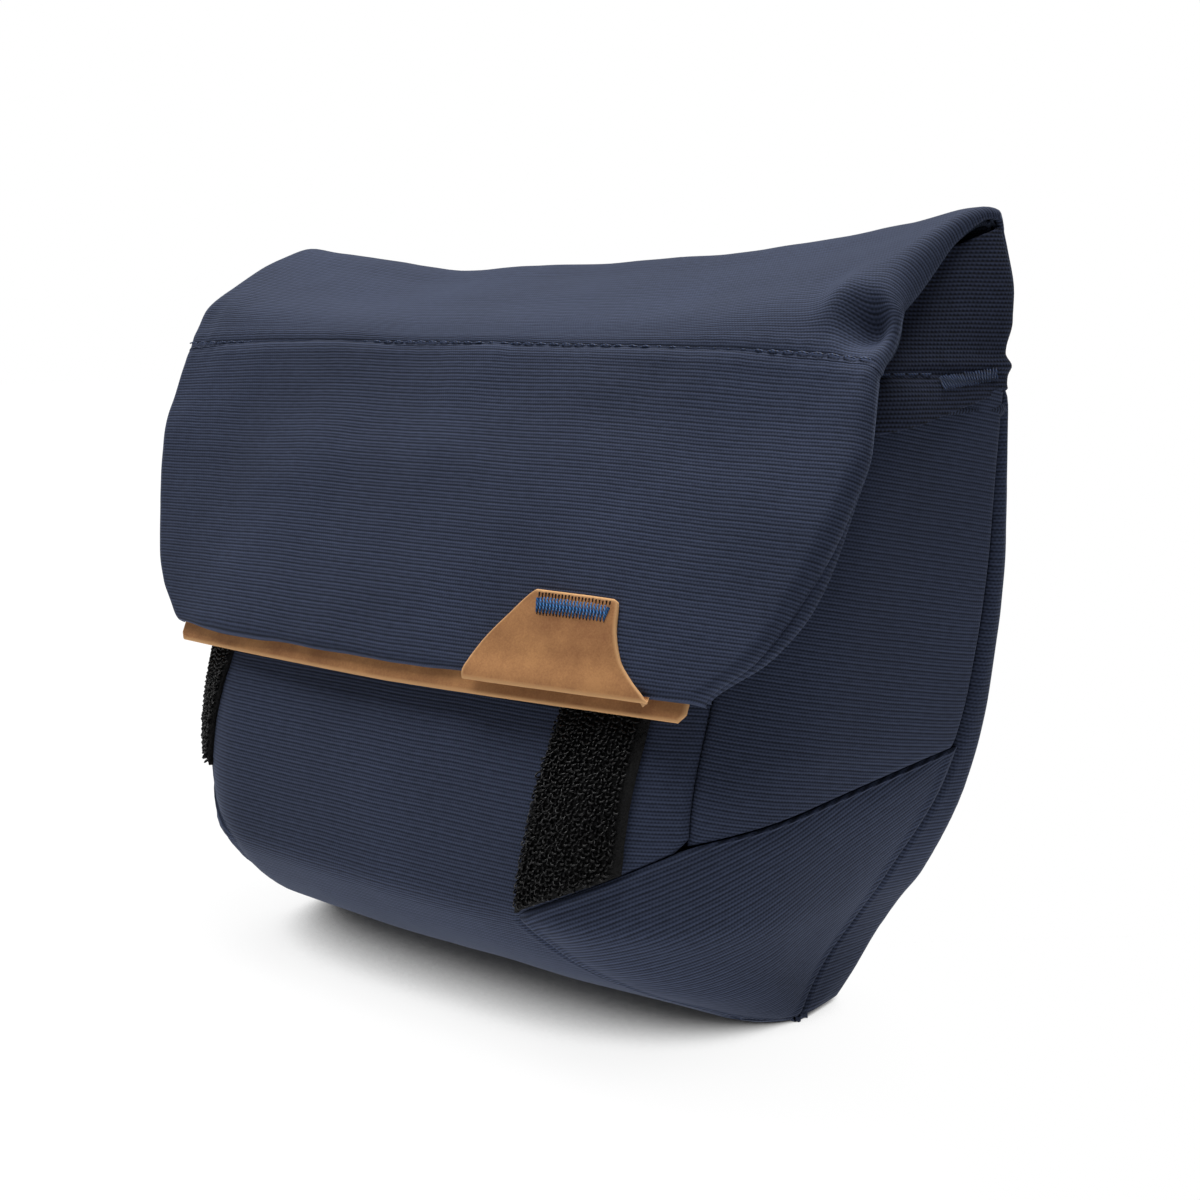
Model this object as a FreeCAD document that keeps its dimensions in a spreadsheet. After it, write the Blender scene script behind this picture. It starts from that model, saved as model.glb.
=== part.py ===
"""Fold-over soft case for brushes and small tools.

A padded tub of ribbed canvas stands on a rounded keel.  Its back carries on above the mouth to a
pinched top fold, and a two-panel flap falls from that fold over the front, where a hook strip under
a suede edge grips two upright loop strips.  Frame: +X right, +Y back, +Z up, origin under the middle.
"""
import FreeCAD, Part

import math
import os
import re
from collections import namedtuple

import Sketcher
from FreeCAD import Placement, Rotation, Vector

# ---------------------------------------------------------------- driving dimensions, millimetres
# "_in" is how far inside its neighbour a size lies, "_up" and "_rise" how far above, "_out" how far out.
SIZES = {
    "case_width": 240.0, "case_height": 195.0, "belly_depth": 93.0,
    "fold_rise": 45.0,              # top fold above the mouth
    # five levels of the tub: side insets from the case's half width, front insets from the belly,
    # and the radius of each level's front corners
    "keel_in_back": 32.0, "keel_in_front": 44.0, "keel_inset": 12.0, "keel_front_in": 43.0, "keel_radius": 20.0,
    "bilge_height": 14.0, "bilge_in_back": 22.0, "bilge_in_front": 34.0,
    "bilge_inset": 3.0, "bilge_front_in": 21.0, "bilge_radius": 30.0,
    "belly_height": 35.0, "belly_in_back": 14.0, "belly_in_front": 27.0, "belly_radius": 42.0,
    "waist_height": 84.0, "waist_in_back": 3.0, "waist_in_front": 22.0, "waist_front_in": 13.0, "waist_radius": 42.0,
    "rim_in_back": 1.0, "rim_in_front": 8.0, "rim_front_in": 44.0, "rim_radius": 20.0,
    "back_corner_radius": 8.0,
    # plies
    "canvas": 1.2, "foam": 3.0, "lining": 0.8, "ply_gap": 0.2, "board": 1.5, "joint_gap": 0.3,
    # seams between the tub's panels
    "corner_seam_in": 46.0, "side_seam_in": 12.0,
    "slant_low_up": 0.5, "slant_mid_up": 19.0, "slant_mid_in": 6.0, "slant_high_up": 31.0,
    "seam_low_in": 15.0, "seam_back_mid": 11.0, "seam_clear": 0.4,
    # flap
    "hem_out": 4.0, "hem_rise": 13.0, "flap_out": 9.0, "flap_up": 1.0,
    "flap_top_in": 0.5, "flap_shoulder_in": 2.5, "flap_shoulder_drop": 35.0,
    "flap_corner_in": 18.0, "flap_corner_up": 11.0, "flap_bottom_in": 28.0,
    "flap_foam": 1.0, "flap_foam_in": 3.0, "flap_lining_in": 0.6, "top_lining_in": 1.5,
    "suede": 1.2, "suede_in": 3.4, "suede_tall": 18.0, "suede_show": 3.6, "suede_corner": 3.0,
    "hook": 1.6, "hook_in": 4.5, "hook_high": 14.0, "hook_up": 2.0,
    "tab_in": 36.5, "tab_half_top": 12.8, "tab_half_bottom": 28.5, "tab_tall": 24.5, "tab_over": 1.0,
    "tab_thick": 1.8, "tab_corner": 1.0, "tab_left_side": 4.0, "tab_right_side": 2.0,
    "tab_waist_out": 3.0, "tab_waist_up": 10.0,
    # loop strips, collars, belt loops
    "loop": 1.5, "loop_width": 25.0, "loop_in": 38.5, "loop_top_down": 12.0,
    "collar_back_up": 4.0, "collar_front_down": 3.0, "collar_in": 2.0, "collar_clear": 0.6, "collar_notch": 12.0,
    "belt_loop_width": 25.0, "belt_loop_centre": 46.0, "belt_loop_up": 24.0, "belt_loop_tall": 70.0,
    "belt_loop_end": 13.0, "belt_loop_ramp": 5.0, "belt_loop_gap": 5.6, "webbing": 1.6, "webbing_bend": 1.0,
    # boards
    "base_board_in": 12.0, "stiffener_in": 18.0, "stiffener_up": 12.0, "stiffener_down": 8.0,
    # pockets and zip
    "pocket_in": 33.0, "pocket_up": 14.0, "pocket_down": 8.0, "pocket_cloth": 0.8,
    "zip_down": 26.0, "zip_out": 2.0, "zip_tape_half": 11.0, "zip_tape": 0.6,
    "coil_in": 6.0, "coil_high": 3.2, "coil_thick": 1.5,
    "slider_long": 9.0, "slider_high": 7.0, "slider_wall": 1.0, "slider_clear": 0.2, "slider_in": 3.0,
    "pull_long": 24.0, "pull_wide": 6.0, "pull_thick": 1.2,
    "slip_in": 44.0, "slip_start": 4.0, "slip_down": 32.0, "slip_binding": 8.0,
    # sewing
    "thread": 0.8, "stitch_long": 3.2, "stitch_pitch": 4.2, "stitch_in": 4.0, "stitch_up": 3.5,
    "tab_bars": 15, "tab_bar_in": 1.5, "tab_bar_down": 2.0, "tab_bar_high": 4.0,
    "bartack_long": 22.0, "bartack_high": 2.6, "bartack_inset": 2.0, "bartack_rise": 3.0,
}

# What follows from them; names that end in _angle are angles, the rest are plain numbers.
DERIVED = {
    "half_width": "case_width / 2",
    "back_face": "(belly_depth - belt_loop_gap - webbing) / 2",
    "rim_height": "case_height - fold_rise",
    "keel_half_back": "half_width - keel_in_back", "keel_half_front": "half_width - keel_in_front",
    "bilge_half_back": "half_width - bilge_in_back", "bilge_half_front": "half_width - bilge_in_front",
    "belly_half_back": "half_width - belly_in_back", "belly_half_front": "half_width - belly_in_front",
    "waist_half_back": "half_width - waist_in_back", "waist_half_front": "half_width - waist_in_front",
    "rim_half_back": "half_width - rim_in_back", "rim_half_front": "half_width - rim_in_front",
    "keel_depth": "belly_depth - keel_front_in", "bilge_depth": "belly_depth - bilge_front_in",
    "waist_depth": "belly_depth - waist_front_in", "rim_depth": "belly_depth - rim_front_in",
    # how deep in the wall each ply starts
    "foam_at": "canvas + ply_gap", "foam_end": "foam_at + foam",
    "lining_at": "foam_end + ply_gap", "wall": "lining_at + lining",
    "board_room": "board + ply_gap", "inner_back": "back_face - wall - board_room",
    # seams
    "corner_seam_half": "belly_half_front - corner_seam_in", "side_seam_half": "waist_half_front - side_seam_in",
    "slant_low": "belly_height + slant_low_up", "slant_mid": "belly_height + slant_mid_up",
    "slant_high": "belly_height + slant_high_up",
    "seam_back_low": "keel_depth - seam_low_in", "seam_back_high": "foam_end + seam_clear",
    # flap
    "hem_depth": "rim_depth + hem_out", "hem_height": "rim_height + hem_rise", "hem_face": "back_face - hem_depth",
    "flap_reach": "waist_depth + flap_out - hem_depth", "flap_fall": "hem_height - waist_height - flap_up",
    "roof_fall": "case_height - hem_height",
    "roof_run": "sqrt(roof_fall ^ 2 + hem_depth ^ 2)",
    "flap_drop": "sqrt(flap_reach ^ 2 + flap_fall ^ 2) - joint_gap",
    "roof_angle": "atan(roof_fall / hem_depth)", "front_angle": "90 deg - atan(flap_reach / flap_fall)",
    "fold_mitre": "tan((90 deg - roof_angle) / 2)", "hem_mitre": "tan((front_angle - roof_angle) / 2)",
    "flap_half_bottom": "half_width - flap_bottom_in",
    "flap_lining_at": "foam_at + flap_foam + ply_gap", "suede_at": "flap_lining_at + lining + ply_gap",
    "hook_at": "suede_at + suede + ply_gap",
    "suede_half": "flap_half_bottom - suede_in", "suede_low": "flap_drop + suede_show",
    "hook_half": "suede_half - hook_in", "hook_low": "suede_low - hook_up",
    "tab_centre": "flap_half_bottom - tab_in", "tab_low": "flap_drop + tab_over", "tab_top": "tab_low - tab_tall",
    # front wall, loop strips and slip pocket
    "waist_face": "back_face - waist_depth",
    "wall_angle": "atan((waist_depth - rim_depth) / (rim_height - waist_height))",
    "loop_inner": "belly_half_front - loop_in", "loop_top": "rim_height - loop_top_down",
    "slip_half": "waist_half_front - slip_in", "slip_at": "wall * cos(wall_angle) + ply_gap",
    "slip_top": "(rim_height - slip_down - waist_height) / cos(wall_angle)",
    # collars
    "upper_plies": "canvas + ply_gap * 2 + lining", "collar_start": "upper_plies + ply_gap",
    "collar_depth": "rim_depth - collar_in",
    "roof_under": "(upper_plies - ply_gap + joint_gap) / cos(roof_angle) + collar_clear",
    "collar_angle": "atan((rim_half_back - rim_half_front) / rim_depth)",
    # back wall pocket and zip
    "zip_height": "rim_height - zip_down", "pocket_half": "belly_half_back - pocket_in",
    "pocket_low": "belly_height + pocket_up", "pocket_high": "zip_height - pocket_down",
    "zip_half": "pocket_half + zip_out", "tape_at": "ply_gap * 2 + pocket_cloth",
    "coil_at": "tape_at + zip_tape + ply_gap / 2", "coil_half": "zip_half - coil_in",
    "slider_x": "-(coil_half - slider_long / 2 - slider_in)", "slider_channel": "coil_high / 2 + slider_clear",
    "slider_back": "inner_back - coil_at - ply_gap / 2",
    "slider_face": "inner_back - coil_at - coil_thick - slider_clear",
    "pull_back": "slider_face - slider_wall - joint_gap",
}

doc = FreeCAD.newDocument("FoldOverCase")
sheet = doc.addObject("Spreadsheet::Sheet", "Sizes")
for row, (alias, value) in enumerate(SIZES.items(), start=1):
    sheet.set(f"A{row}", alias)
    sheet.set(f"B{row}", str(value))
    sheet.setAlias(f"B{row}", alias)


def named(text):
    """The expression with each dimension's name written the way the document looks it up."""
    def look_up(word):
        name = word.group()
        return f"Sizes.{name}" if name in SIZES else f"Derived.{name}" if name in DERIVED else name
    return re.sub(r"[a-z_]\w*", look_up, text)


derived = doc.addObject("App::VarSet", "Derived")
for name in DERIVED:
    derived.addProperty("App::PropertyAngle" if name.endswith("_angle") else "App::PropertyFloat", name)
for name, text in DERIVED.items():
    derived.setExpression(name, named(text))
doc.recompute()


def size(name):
    """A dimension as a number: millimetres, or degrees for an angle."""
    value = getattr(sheet if name in SIZES else derived, name)
    return float(getattr(value, "Value", value))


nodes = []


def keep(obj, label):
    """Marks a document object as a sub-part and gives it its node name."""
    obj.Label = label
    nodes.append(obj)
    return obj


def feature(name, shape):
    made = doc.addObject("Part::Feature", name)
    made.Shape = shape
    return made


def cut(name, base, tool):
    made = doc.addObject("Part::Cut", name)
    made.Base, made.Tool = base, tool
    return made


def common(name, *shapes):
    made = doc.addObject("Part::MultiCommon", name)
    made.Shapes = list(shapes)
    return made


SIDES = [("right", 1), ("left", -1)]
PAST = 12.0     # how far a cutter runs on past what it cuts
CUT = 250.0     # half size of a region block

# ---------------------------------------------------------------- the tub: nested lofted skins
# lift is the share of an inset by which the level also rises, so that the floor is as thick as the walls
Level = namedtuple("Level", "height half_back half_front inset depth radius lift")


def level(name, height, lift, inset=0.0):
    return Level(height, size(f"{name}_half_back"), size(f"{name}_half_front"), inset,
                 size(f"{name}_depth"), size(f"{name}_radius"), lift)


LEVELS = [
    level("keel", 0.0, 1.0, size("keel_inset")),
    level("bilge", size("bilge_height"), 0.8, size("bilge_inset")),
    level("belly", size("belly_height"), 0.3),
    level("waist", size("waist_height"), 0.0),
    level("rim", size("rim_height"), 0.0),
]
back_y = size("back_face")


def offset_corners(at, inset, back_inset):
    """The four corners of a level's trapezoid, moved inwards by inset, and at the back by back_inset."""
    y_back, y_front = back_y - at.inset, back_y - at.depth
    run, rise = at.half_back - at.half_front, y_back - y_front
    shift = inset * math.hypot(run, rise) / rise

    def half_at(y):
        return at.half_front + run * (y - y_front) / rise - shift

    near, far = y_front + inset, y_back - back_inset
    return [Vector(half_at(far), far, 0), Vector(half_at(near), near, 0),
            Vector(-half_at(near), near, 0), Vector(-half_at(far), far, 0)]


def rounded(corners, radii, height):
    """A closed wire through the corners, each rounded by its radius, at that height."""
    bends = []
    for i, corner in enumerate(corners):
        before = (corners[i - 1] - corner).normalize()
        after = (corners[(i + 1) % len(corners)] - corner).normalize()
        half = before.getAngle(after) / 2
        reach = radii[i] / math.tan(half)
        deepest = corner + (before + after).normalize() * (radii[i] / math.sin(half) - radii[i])
        bends.append((corner + before * reach, deepest, corner + after * reach))
    up = Vector(0, 0, height)
    edges = []
    for i, (enter, deepest, leave) in enumerate(bends):
        following = bends[(i + 1) % len(bends)][0]
        edges.append(Part.Arc(enter + up, deepest + up, leave + up).toShape())
        edges.append(Part.LineSegment(leave + up, following + up).toShape())
    return Part.Wire(edges)


def ring(at, inset, back_inset, height):
    """One cross-section of the tub, inset from the outside by inset."""
    tightest = size("joint_gap")
    front = max(tightest, at.radius - inset)
    back = max(tightest, size("back_corner_radius") - max(inset, back_inset))
    return rounded(offset_corners(at, inset, back_inset), [back, front, front, back], height)


def past_rim():
    """The rim's cross-section carried on above the rim, in line with the walls."""
    low, high = LEVELS[-2:]
    share = PAST / (high.height - low.height)
    return Level(*(b + (b - a) * share for a, b in zip(low, high)))


def tub(name, inset, extra=0.0, open_top=False):
    """The solid inside the tub's skin at that inset, with extra inset at the floor and the back."""
    wires = []
    for at in LEVELS + ([past_rim()] if open_top else []):
        raised = extra if at is LEVELS[0] else 0.0
        wires.append(ring(at, inset, inset + extra, at.height + inset * at.lift + raised))
    return feature(name, Part.makeLoft(wires, True, True))


canvas_skin = cut("canvas_skin", tub("tub_outside", 0.0), tub("canvas_inside", size("canvas"), open_top=True))
foam_skin = cut("foam_skin", tub("foam_outside", size("foam_at")),
                tub("foam_inside", size("foam_end"), open_top=True))
lining_skin = cut("lining_skin", tub("lining_outside", size("lining_at"), size("board_room")),
                  tub("lining_inside", size("wall"), size("board_room"), open_top=True))


def prism_along_x(points):
    """A block across the whole width with that outline in the YZ plane."""
    wire = Part.makePolygon([Vector(-CUT, y, z) for y, z in points + points[:1]])
    return Part.Face(wire).extrude(Vector(2 * CUT, 0, 0))


def upright_prism(points):
    """A block of full height with that outline in the XY plane."""
    wire = Part.makePolygon([Vector(x, y, -CUT) for x, y in points + points[:1]])
    return Part.Face(wire).extrude(Vector(0, 0, 2 * CUT))


def below_plane(one, two, three):
    """The half space under the plane through three points, as a large block."""
    normal = (two - one).cross(three - one).normalize()
    normal = normal if normal.z > 0 else -normal
    block = Part.makeBox(4 * CUT, 4 * CUT, 2 * CUT, Vector(-2 * CUT, -2 * CUT, -2 * CUT))
    block.Placement = Placement(one, Rotation(Vector(0, 0, 1), normal))
    return block


# The back panel takes everything behind a seam that leans forward towards the keel.
top_of_cut = size("rim_height") + 2 * PAST
seam_line = [
    (back_y - size("seam_back_low"), -PAST),
    (back_y - size("seam_back_low"), 0.0),
    (back_y - size("seam_back_mid"), size("slant_high")),
    (back_y - size("seam_back_high"), size("rim_height")),
    (back_y - size("seam_back_high"), top_of_cut),
]
back_region = feature("back_region", prism_along_x(seam_line + [(back_y + PAST, top_of_cut), (back_y + PAST, -PAST)]))
front_region = feature("front_region", prism_along_x(seam_line + [(-CUT, top_of_cut), (-CUT, -PAST)]))


def under_slant(side):
    """The space under the slanted seam on one side."""
    start = Vector(side * size("corner_seam_half"), back_y - size("belly_depth"), size("slant_low"))
    bend = Vector(side * size("side_seam_half"), back_y - size("waist_depth") + size("slant_mid_in"), size("slant_mid"))
    end = Vector(side * size("belly_half_back"), back_y - size("seam_back_mid"), size("slant_high"))
    return below_plane(start, bend, end)


def corner_footprint(side):
    """The outer side, in plan, of the line from the slanted seam's start to the keel's end."""
    start = Vector(side * size("corner_seam_half"), back_y - size("belly_depth"), 0)
    end = Vector(side * size("keel_half_back"), back_y - size("seam_back_low"), 0)
    early, late = start - (end - start), end + (end - start) * 2
    return upright_prism([(early.x, early.y), (late.x, late.y), (side * CUT, late.y), (side * CUT, early.y)])


def side_footprint(side):
    x = side * size("side_seam_half")
    return upright_prism([(x, -CUT), (x, CUT), (side * CUT, CUT), (side * CUT, -CUT)])


corner_regions, side_regions = {}, {}
for word, side in SIDES:
    slant = under_slant(side)
    corner_regions[word] = feature(f"corner_region_{word}", corner_footprint(side).common(slant))
    side_regions[word] = feature(f"side_region_{word}", side_footprint(side).cut(slant))

front_wall = common("canvas_front", canvas_skin, front_region)
middle = front_wall
for word, side in SIDES:
    keep(common(f"corner_{word}", front_wall, corner_regions[word]), f"corner_panel_{word}")
    keep(common(f"side_{word}", front_wall, side_regions[word]), f"side_panel_{word}")
    middle = cut(f"middle_less_corner_{word}", middle, corner_regions[word])
    middle = cut(f"middle_less_side_{word}", middle, side_regions[word])
keep(middle, "front_panel")


def upper_back(name, near, far, half_low, half_high):
    """A sheet of the back above the rim, between two depths, mitred at the top fold."""
    top, low = size("case_height") - size("joint_gap"), size("rim_height")
    block = prism_along_x([(back_y - near, low), (back_y - far, low),
                           (back_y - far, top - far / size("fold_mitre")),
                           (back_y - near, top - near / size("fold_mitre"))])
    corners = [(-half_low, low), (half_low, low), (half_high, top), (-half_high, top)]
    outline = Part.makePolygon([Vector(x, -CUT, z) for x, z in corners + corners[:1]])
    return feature(name, block.common(Part.Face(outline).extrude(Vector(0, 2 * CUT, 0))))


straight_half = size("rim_half_back") - size("back_corner_radius")
back_panel = doc.addObject("Part::MultiFuse", "back_whole")
back_panel.Shapes = [common("back_lower", canvas_skin, back_region),
                     upper_back("back_upper", 0.0, size("canvas"), straight_half, size("half_width"))]
keep(back_panel, "back_panel")
keep(upper_back("back_lining", size("foam_at"), size("foam_at") + size("lining"),
                straight_half - size("top_lining_in"), size("half_width") - size("top_lining_in")), "top_lining")

keep(common("foam_behind", foam_skin, back_region), "back_foam")
foam_front = common("foam_front", foam_skin, front_region)
foam_middle = foam_front
for word, side in SIDES:
    wall = feature(f"side_wall_{word}", side_footprint(side))
    keep(common(f"foam_side_{word}", foam_front, wall), f"side_foam_{word}")
    foam_middle = cut(f"foam_less_{word}", foam_middle, wall)
keep(foam_middle, "front_foam")
keep(lining_skin, "lining")

# Binding tape along the raw edges of the mouth, front and sides.
tape_low = size("rim_height") + size("ply_gap")
tape = Part.Face([ring(LEVELS[-1], 0.0, 0.0, tape_low),
                  ring(LEVELS[-1], size("wall"), size("wall") + size("board_room"), tape_low)],
                 "Part::FaceMakerBullseye").extrude(Vector(0, 0, size("canvas")))
keep(common("mouth_tape", feature("tape_ring", tape), front_region), "mouth_binding")


# ---------------------------------------------------------------- flat pieces: sketch, pad, place
def outline_sketch(body, name, plane, points, lift):
    """A closed outline of (x, y) expressions on an origin plane of the body, lifted off it."""
    sketch = body.newObject("Sketcher::SketchObject", name)
    origin = [f for f in body.Origin.OriginFeatures if f.Role == plane][0]
    sketch.AttachmentSupport = [(origin, "")]
    sketch.MapMode = "FlatFace"
    sketch.setExpression(".AttachmentOffset.Base.z", named(lift))
    turn = 2 * math.pi / len(points)
    start = [Vector(CUT * math.cos(turn * i), CUT * math.sin(turn * i), 0) for i in range(len(points))]
    for i in range(len(points)):
        sketch.addGeometry(Part.LineSegment(start[i], start[(i + 1) % len(points)]), False)
    for i in range(len(points)):
        sketch.addConstraint(Sketcher.Constraint("Coincident", i, 2, (i + 1) % len(points), 1))
    for i, (x, y) in enumerate(points):
        for kind, text in (("DistanceX", x), ("DistanceY", y)):
            index = sketch.addConstraint(Sketcher.Constraint(kind, -1, 1, i, 1, 1.0))
            sketch.setExpression(f"Constraints[{index}]", named(text))
    return sketch


def padded(label, plane, points, lift, thickness, place=None):
    """A PartDesign body: one outline, padded, and placed by (x, y, z, axis, angle) expressions."""
    body = doc.addObject("PartDesign::Body", label + "_body")
    pad = body.newObject("PartDesign::Pad", label + "_pad")
    pad.Profile = outline_sketch(body, label + "_outline", plane, points, lift)
    pad.setExpression("Length", named(thickness))
    if place:
        x, y, z, axis, angle = place
        for path, text in (("Base.x", x), ("Base.y", y), ("Base.z", z), ("Rotation.Angle", angle)):
            body.setExpression(f".Placement.{path}", named(text))
        for letter in "xyz":
            body.setExpression(f".Placement.Rotation.Axis.{letter}", "1" if letter == axis else "0")
    return keep(body, label)


def box_points(x0, x1, y0, y1):
    return [(x0, y0), (x1, y0), (x1, y1), (x0, y1)]


def mirrored(points):
    """Outline points given for +X, closed by their mirror images."""
    return points + [(f"-({x})", y) for x, y in reversed(points)]


# Flap, upper panel: two plies from the top fold to the cross seam, mitred at both ends.
ON_ROOF = ("0", "back_face", "case_height", "x", "roof_angle")


def roof_ply(label, near, far, side_in="0"):
    """A ply of the upper panel between two depths under its face; its profile is mitred."""
    points = [
        (f"-(joint_gap + ({near}) / fold_mitre)", f"-({near})"),
        (f"-(joint_gap + ({far}) / fold_mitre)", f"-({far})"),
        (f"-(roof_run - joint_gap - ({far}) * hem_mitre)", f"-({far})"),
        (f"-(roof_run - joint_gap - ({near}) * hem_mitre)", f"-({near})"),
    ]
    padded(label, "YZ_Plane", points, f"{side_in} - half_width", f"case_width - 2 * {side_in}", ON_ROOF)


roof_ply("flap_top_panel", "0", "canvas")
roof_ply("flap_top_lining", "foam_at", "foam_at + lining", "top_lining_in")

# Flap, front panel: canvas, thin foam and lining, all cut to one tapered outline.
ON_FRONT = ("0", "hem_face", "hem_height", "x", "front_angle")


def front_ply(label, depth, thick, trim="0"):
    """A ply of the front panel whose face lies at depth under the panel's outside."""
    outline = mirrored([
        (f"half_width - flap_top_in - {trim}", f"-(joint_gap + ({depth} + {thick}) * hem_mitre)"),
        (f"half_width - flap_shoulder_in - {trim}", "-flap_shoulder_drop"),
        (f"half_width - flap_corner_in - {trim}", "flap_corner_up - flap_drop"),
        (f"flap_half_bottom - {trim}", f"{trim} - flap_drop"),
    ])
    padded(label, "XY_Plane", outline, f"-({depth} + {thick})", thick, ON_FRONT)


front_ply("flap_front_panel", "0", "canvas")
front_ply("flap_foam", "foam_at", "flap_foam", "flap_foam_in")
front_ply("flap_lining", "flap_lining_at", "lining", "flap_lining_in")

# Suede edge strip under the flap, the hook strip sewn to it, and the pull tab that wraps the edge.
padded("suede_edge_strip", "XY_Plane",
       mirrored([("suede_half", "suede_tall - suede_low"), ("suede_half", "suede_corner - suede_low"),
                 ("suede_half - suede_corner", "-suede_low")]),
       "-(suede_at + suede)", "suede", ON_FRONT)
padded("hook_strip", "XY_Plane", box_points("-hook_half", "hook_half", "-hook_low", "hook_high - hook_low"),
       "-(hook_at + hook)", "hook", ON_FRONT)
padded("suede_pull_tab", "XY_Plane", [
    ("tab_centre - tab_half_top", "-tab_top"),
    ("tab_centre - tab_half_bottom", "tab_left_side - tab_low"),
    ("tab_centre - tab_half_bottom + tab_corner", "-tab_low"),
    ("tab_centre + tab_half_bottom - tab_corner", "-tab_low"),
    ("tab_centre + tab_half_bottom", "tab_right_side - tab_low"),
    ("tab_centre + tab_half_top + tab_waist_out", "tab_waist_up - tab_low"),
    ("tab_centre + tab_half_top", "-tab_top"),
], "ply_gap", "tab_thick", ON_FRONT)


def stitches(label, first, pitch, count, box, place):
    """One node of separate equal stitches: the first one's corner, their pitch and their size."""
    solids = [Part.makeBox(*box, first + Vector(pitch * i, 0, 0)) for i in range(count)]
    row = keep(feature(label + "_row", Part.makeCompound(solids)), label)
    row.Placement = place


thread = size("thread")
off_cloth = size("ply_gap") / 2
seam_half = size("half_width") - size("stitch_in")
stitches("flap_seam_stitching", Vector(-seam_half, size("stitch_up") - size("roof_run"), off_cloth),
         size("stitch_pitch"), int(2 * seam_half / size("stitch_pitch")),
         (size("stitch_long"), thread, thread / 2),
         Placement(Vector(0, back_y, size("case_height")), Rotation(Vector(1, 0, 0), size("roof_angle"))))
tab_bars = int(size("tab_bars"))
bar_half = size("tab_half_top") - size("tab_bar_in")
bar_pitch = 2 * bar_half / tab_bars
bar_low = -(size("tab_top") + size("tab_bar_down") + size("tab_bar_high"))
stitches("tab_stitching", Vector(size("tab_centre") - bar_half, bar_low,
                                 size("ply_gap") + size("tab_thick") + off_cloth),
         bar_pitch, tab_bars, (min(thread, bar_pitch / 2), size("tab_bar_high"), thread / 2),
         Placement(Vector(0, size("hem_face"), size("hem_height")),
                   Rotation(Vector(1, 0, 0), size("front_angle"))))


# ---------------------------------------------------------------- loop strips round the tub's front
strip_skin = cut("strip_skin", tub("strip_outside", -(size("ply_gap") + size("loop"))),
                 tub("strip_inside", -size("ply_gap"), open_top=True))
for word, side in SIDES:
    start = min(side * size("loop_inner"), side * (size("loop_inner") + size("loop_width")))
    tall = size("loop_top") - size("belly_height")
    block = feature(f"strip_block_{word}", Part.makeBox(size("loop_width"), CUT, tall,
                                                        Vector(start, -CUT, size("belly_height"))))
    keep(cut(f"strip_{word}", common(f"strip_{word}_whole", strip_skin, block), corner_regions[word]),
         f"loop_strip_{word}")


# ---------------------------------------------------------------- side collars under the flap's ends
def under_roof(depth):
    return f"case_height - roof_under - ({depth}) * tan(roof_angle)"


for word, side in SIDES:
    on_rim_end = (f"{side} * (rim_half_back + joint_gap)", "back_face", "0", "z", f"{-side} * collar_angle")
    padded(f"side_collar_{word}", "YZ_Plane", [
        ("-collar_start", "rim_height + collar_back_up"), ("-collar_depth", "rim_height - collar_front_down"),
        ("-collar_depth", under_roof("collar_depth")), ("-collar_start", under_roof("collar_start + collar_notch")),
    ], "0" if side > 0 else "-canvas", "canvas", on_rim_end)
    tack_back = "collar_start + bartack_inset"
    tack_low = "rim_height + collar_back_up + bartack_rise"
    padded(f"bartack_{word}", "YZ_Plane",
           box_points(f"-({tack_back} + bartack_long)", f"-({tack_back})", tack_low, f"{tack_low} + bartack_high"),
           "canvas + ply_gap / 2" if side > 0 else "-(canvas + ply_gap / 2 + thread)", "thread", on_rim_end)

# ---------------------------------------------------------------- belt loops on the back
LOW, HIGH = "belly_height + belt_loop_up", "belly_height + belt_loop_up + belt_loop_tall"
NEAR, OUT = "back_face + ply_gap / 2", "back_face + belt_loop_gap"
for word, side in SIDES:
    padded(f"belt_loop_{word}", "YZ_Plane", [
        (NEAR, LOW), (f"{NEAR} + webbing", LOW), (f"{NEAR} + webbing", f"{LOW} + belt_loop_end - webbing_bend"),
        (f"{OUT} + webbing", f"{LOW} + belt_loop_end + belt_loop_ramp - webbing_bend"),
        (f"{OUT} + webbing", f"{HIGH} - belt_loop_end - belt_loop_ramp + webbing_bend"),
        (f"{NEAR} + webbing", f"{HIGH} - belt_loop_end + webbing_bend"), (f"{NEAR} + webbing", HIGH),
        (NEAR, HIGH), (NEAR, f"{HIGH} - belt_loop_end"), (OUT, f"{HIGH} - belt_loop_end - belt_loop_ramp"),
        (OUT, f"{LOW} + belt_loop_end + belt_loop_ramp"), (NEAR, f"{LOW} + belt_loop_end"),
    ], f"{side} * belt_loop_centre - belt_loop_width / 2", "belt_loop_width")


# ---------------------------------------------------------------- boards that stiffen base and back
def upright(label, points, face, thickness):
    """A sheet in the XZ plane whose back lies at face and that is thickness deep towards the front."""
    padded(label, "XY_Plane", points, "0", thickness, ("0", face, "0", "x", "90"))


padded("base_board", "XY_Plane",
       box_points("base_board_in - keel_half_front", "keel_half_front - base_board_in",
                  "back_face - keel_depth + base_board_in", "back_face - keel_inset - base_board_in"),
       "foam_end + ply_gap / 2", "board")
upright("back_stiffener",
        box_points("stiffener_in - belly_half_back", "belly_half_back - stiffener_in",
                   "belly_height + stiffener_up", "rim_height - stiffener_down"),
        "back_face - foam_end - ply_gap / 2", "board")

# ---------------------------------------------------------------- inside: zip pocket and slip pocket
upright("zip_pocket_panel", box_points("-pocket_half", "pocket_half", "pocket_low", "pocket_high"),
        "inner_back - ply_gap", "pocket_cloth")
upright("zip_tape", box_points("-zip_half", "zip_half", "zip_height - zip_tape_half", "zip_height + zip_tape_half"),
        "inner_back - tape_at", "zip_tape")
upright("zip_coil", box_points("-coil_half", "coil_half", "zip_height - coil_high / 2", "zip_height + coil_high / 2"),
        "inner_back - coil_at", "coil_thick")

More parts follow.
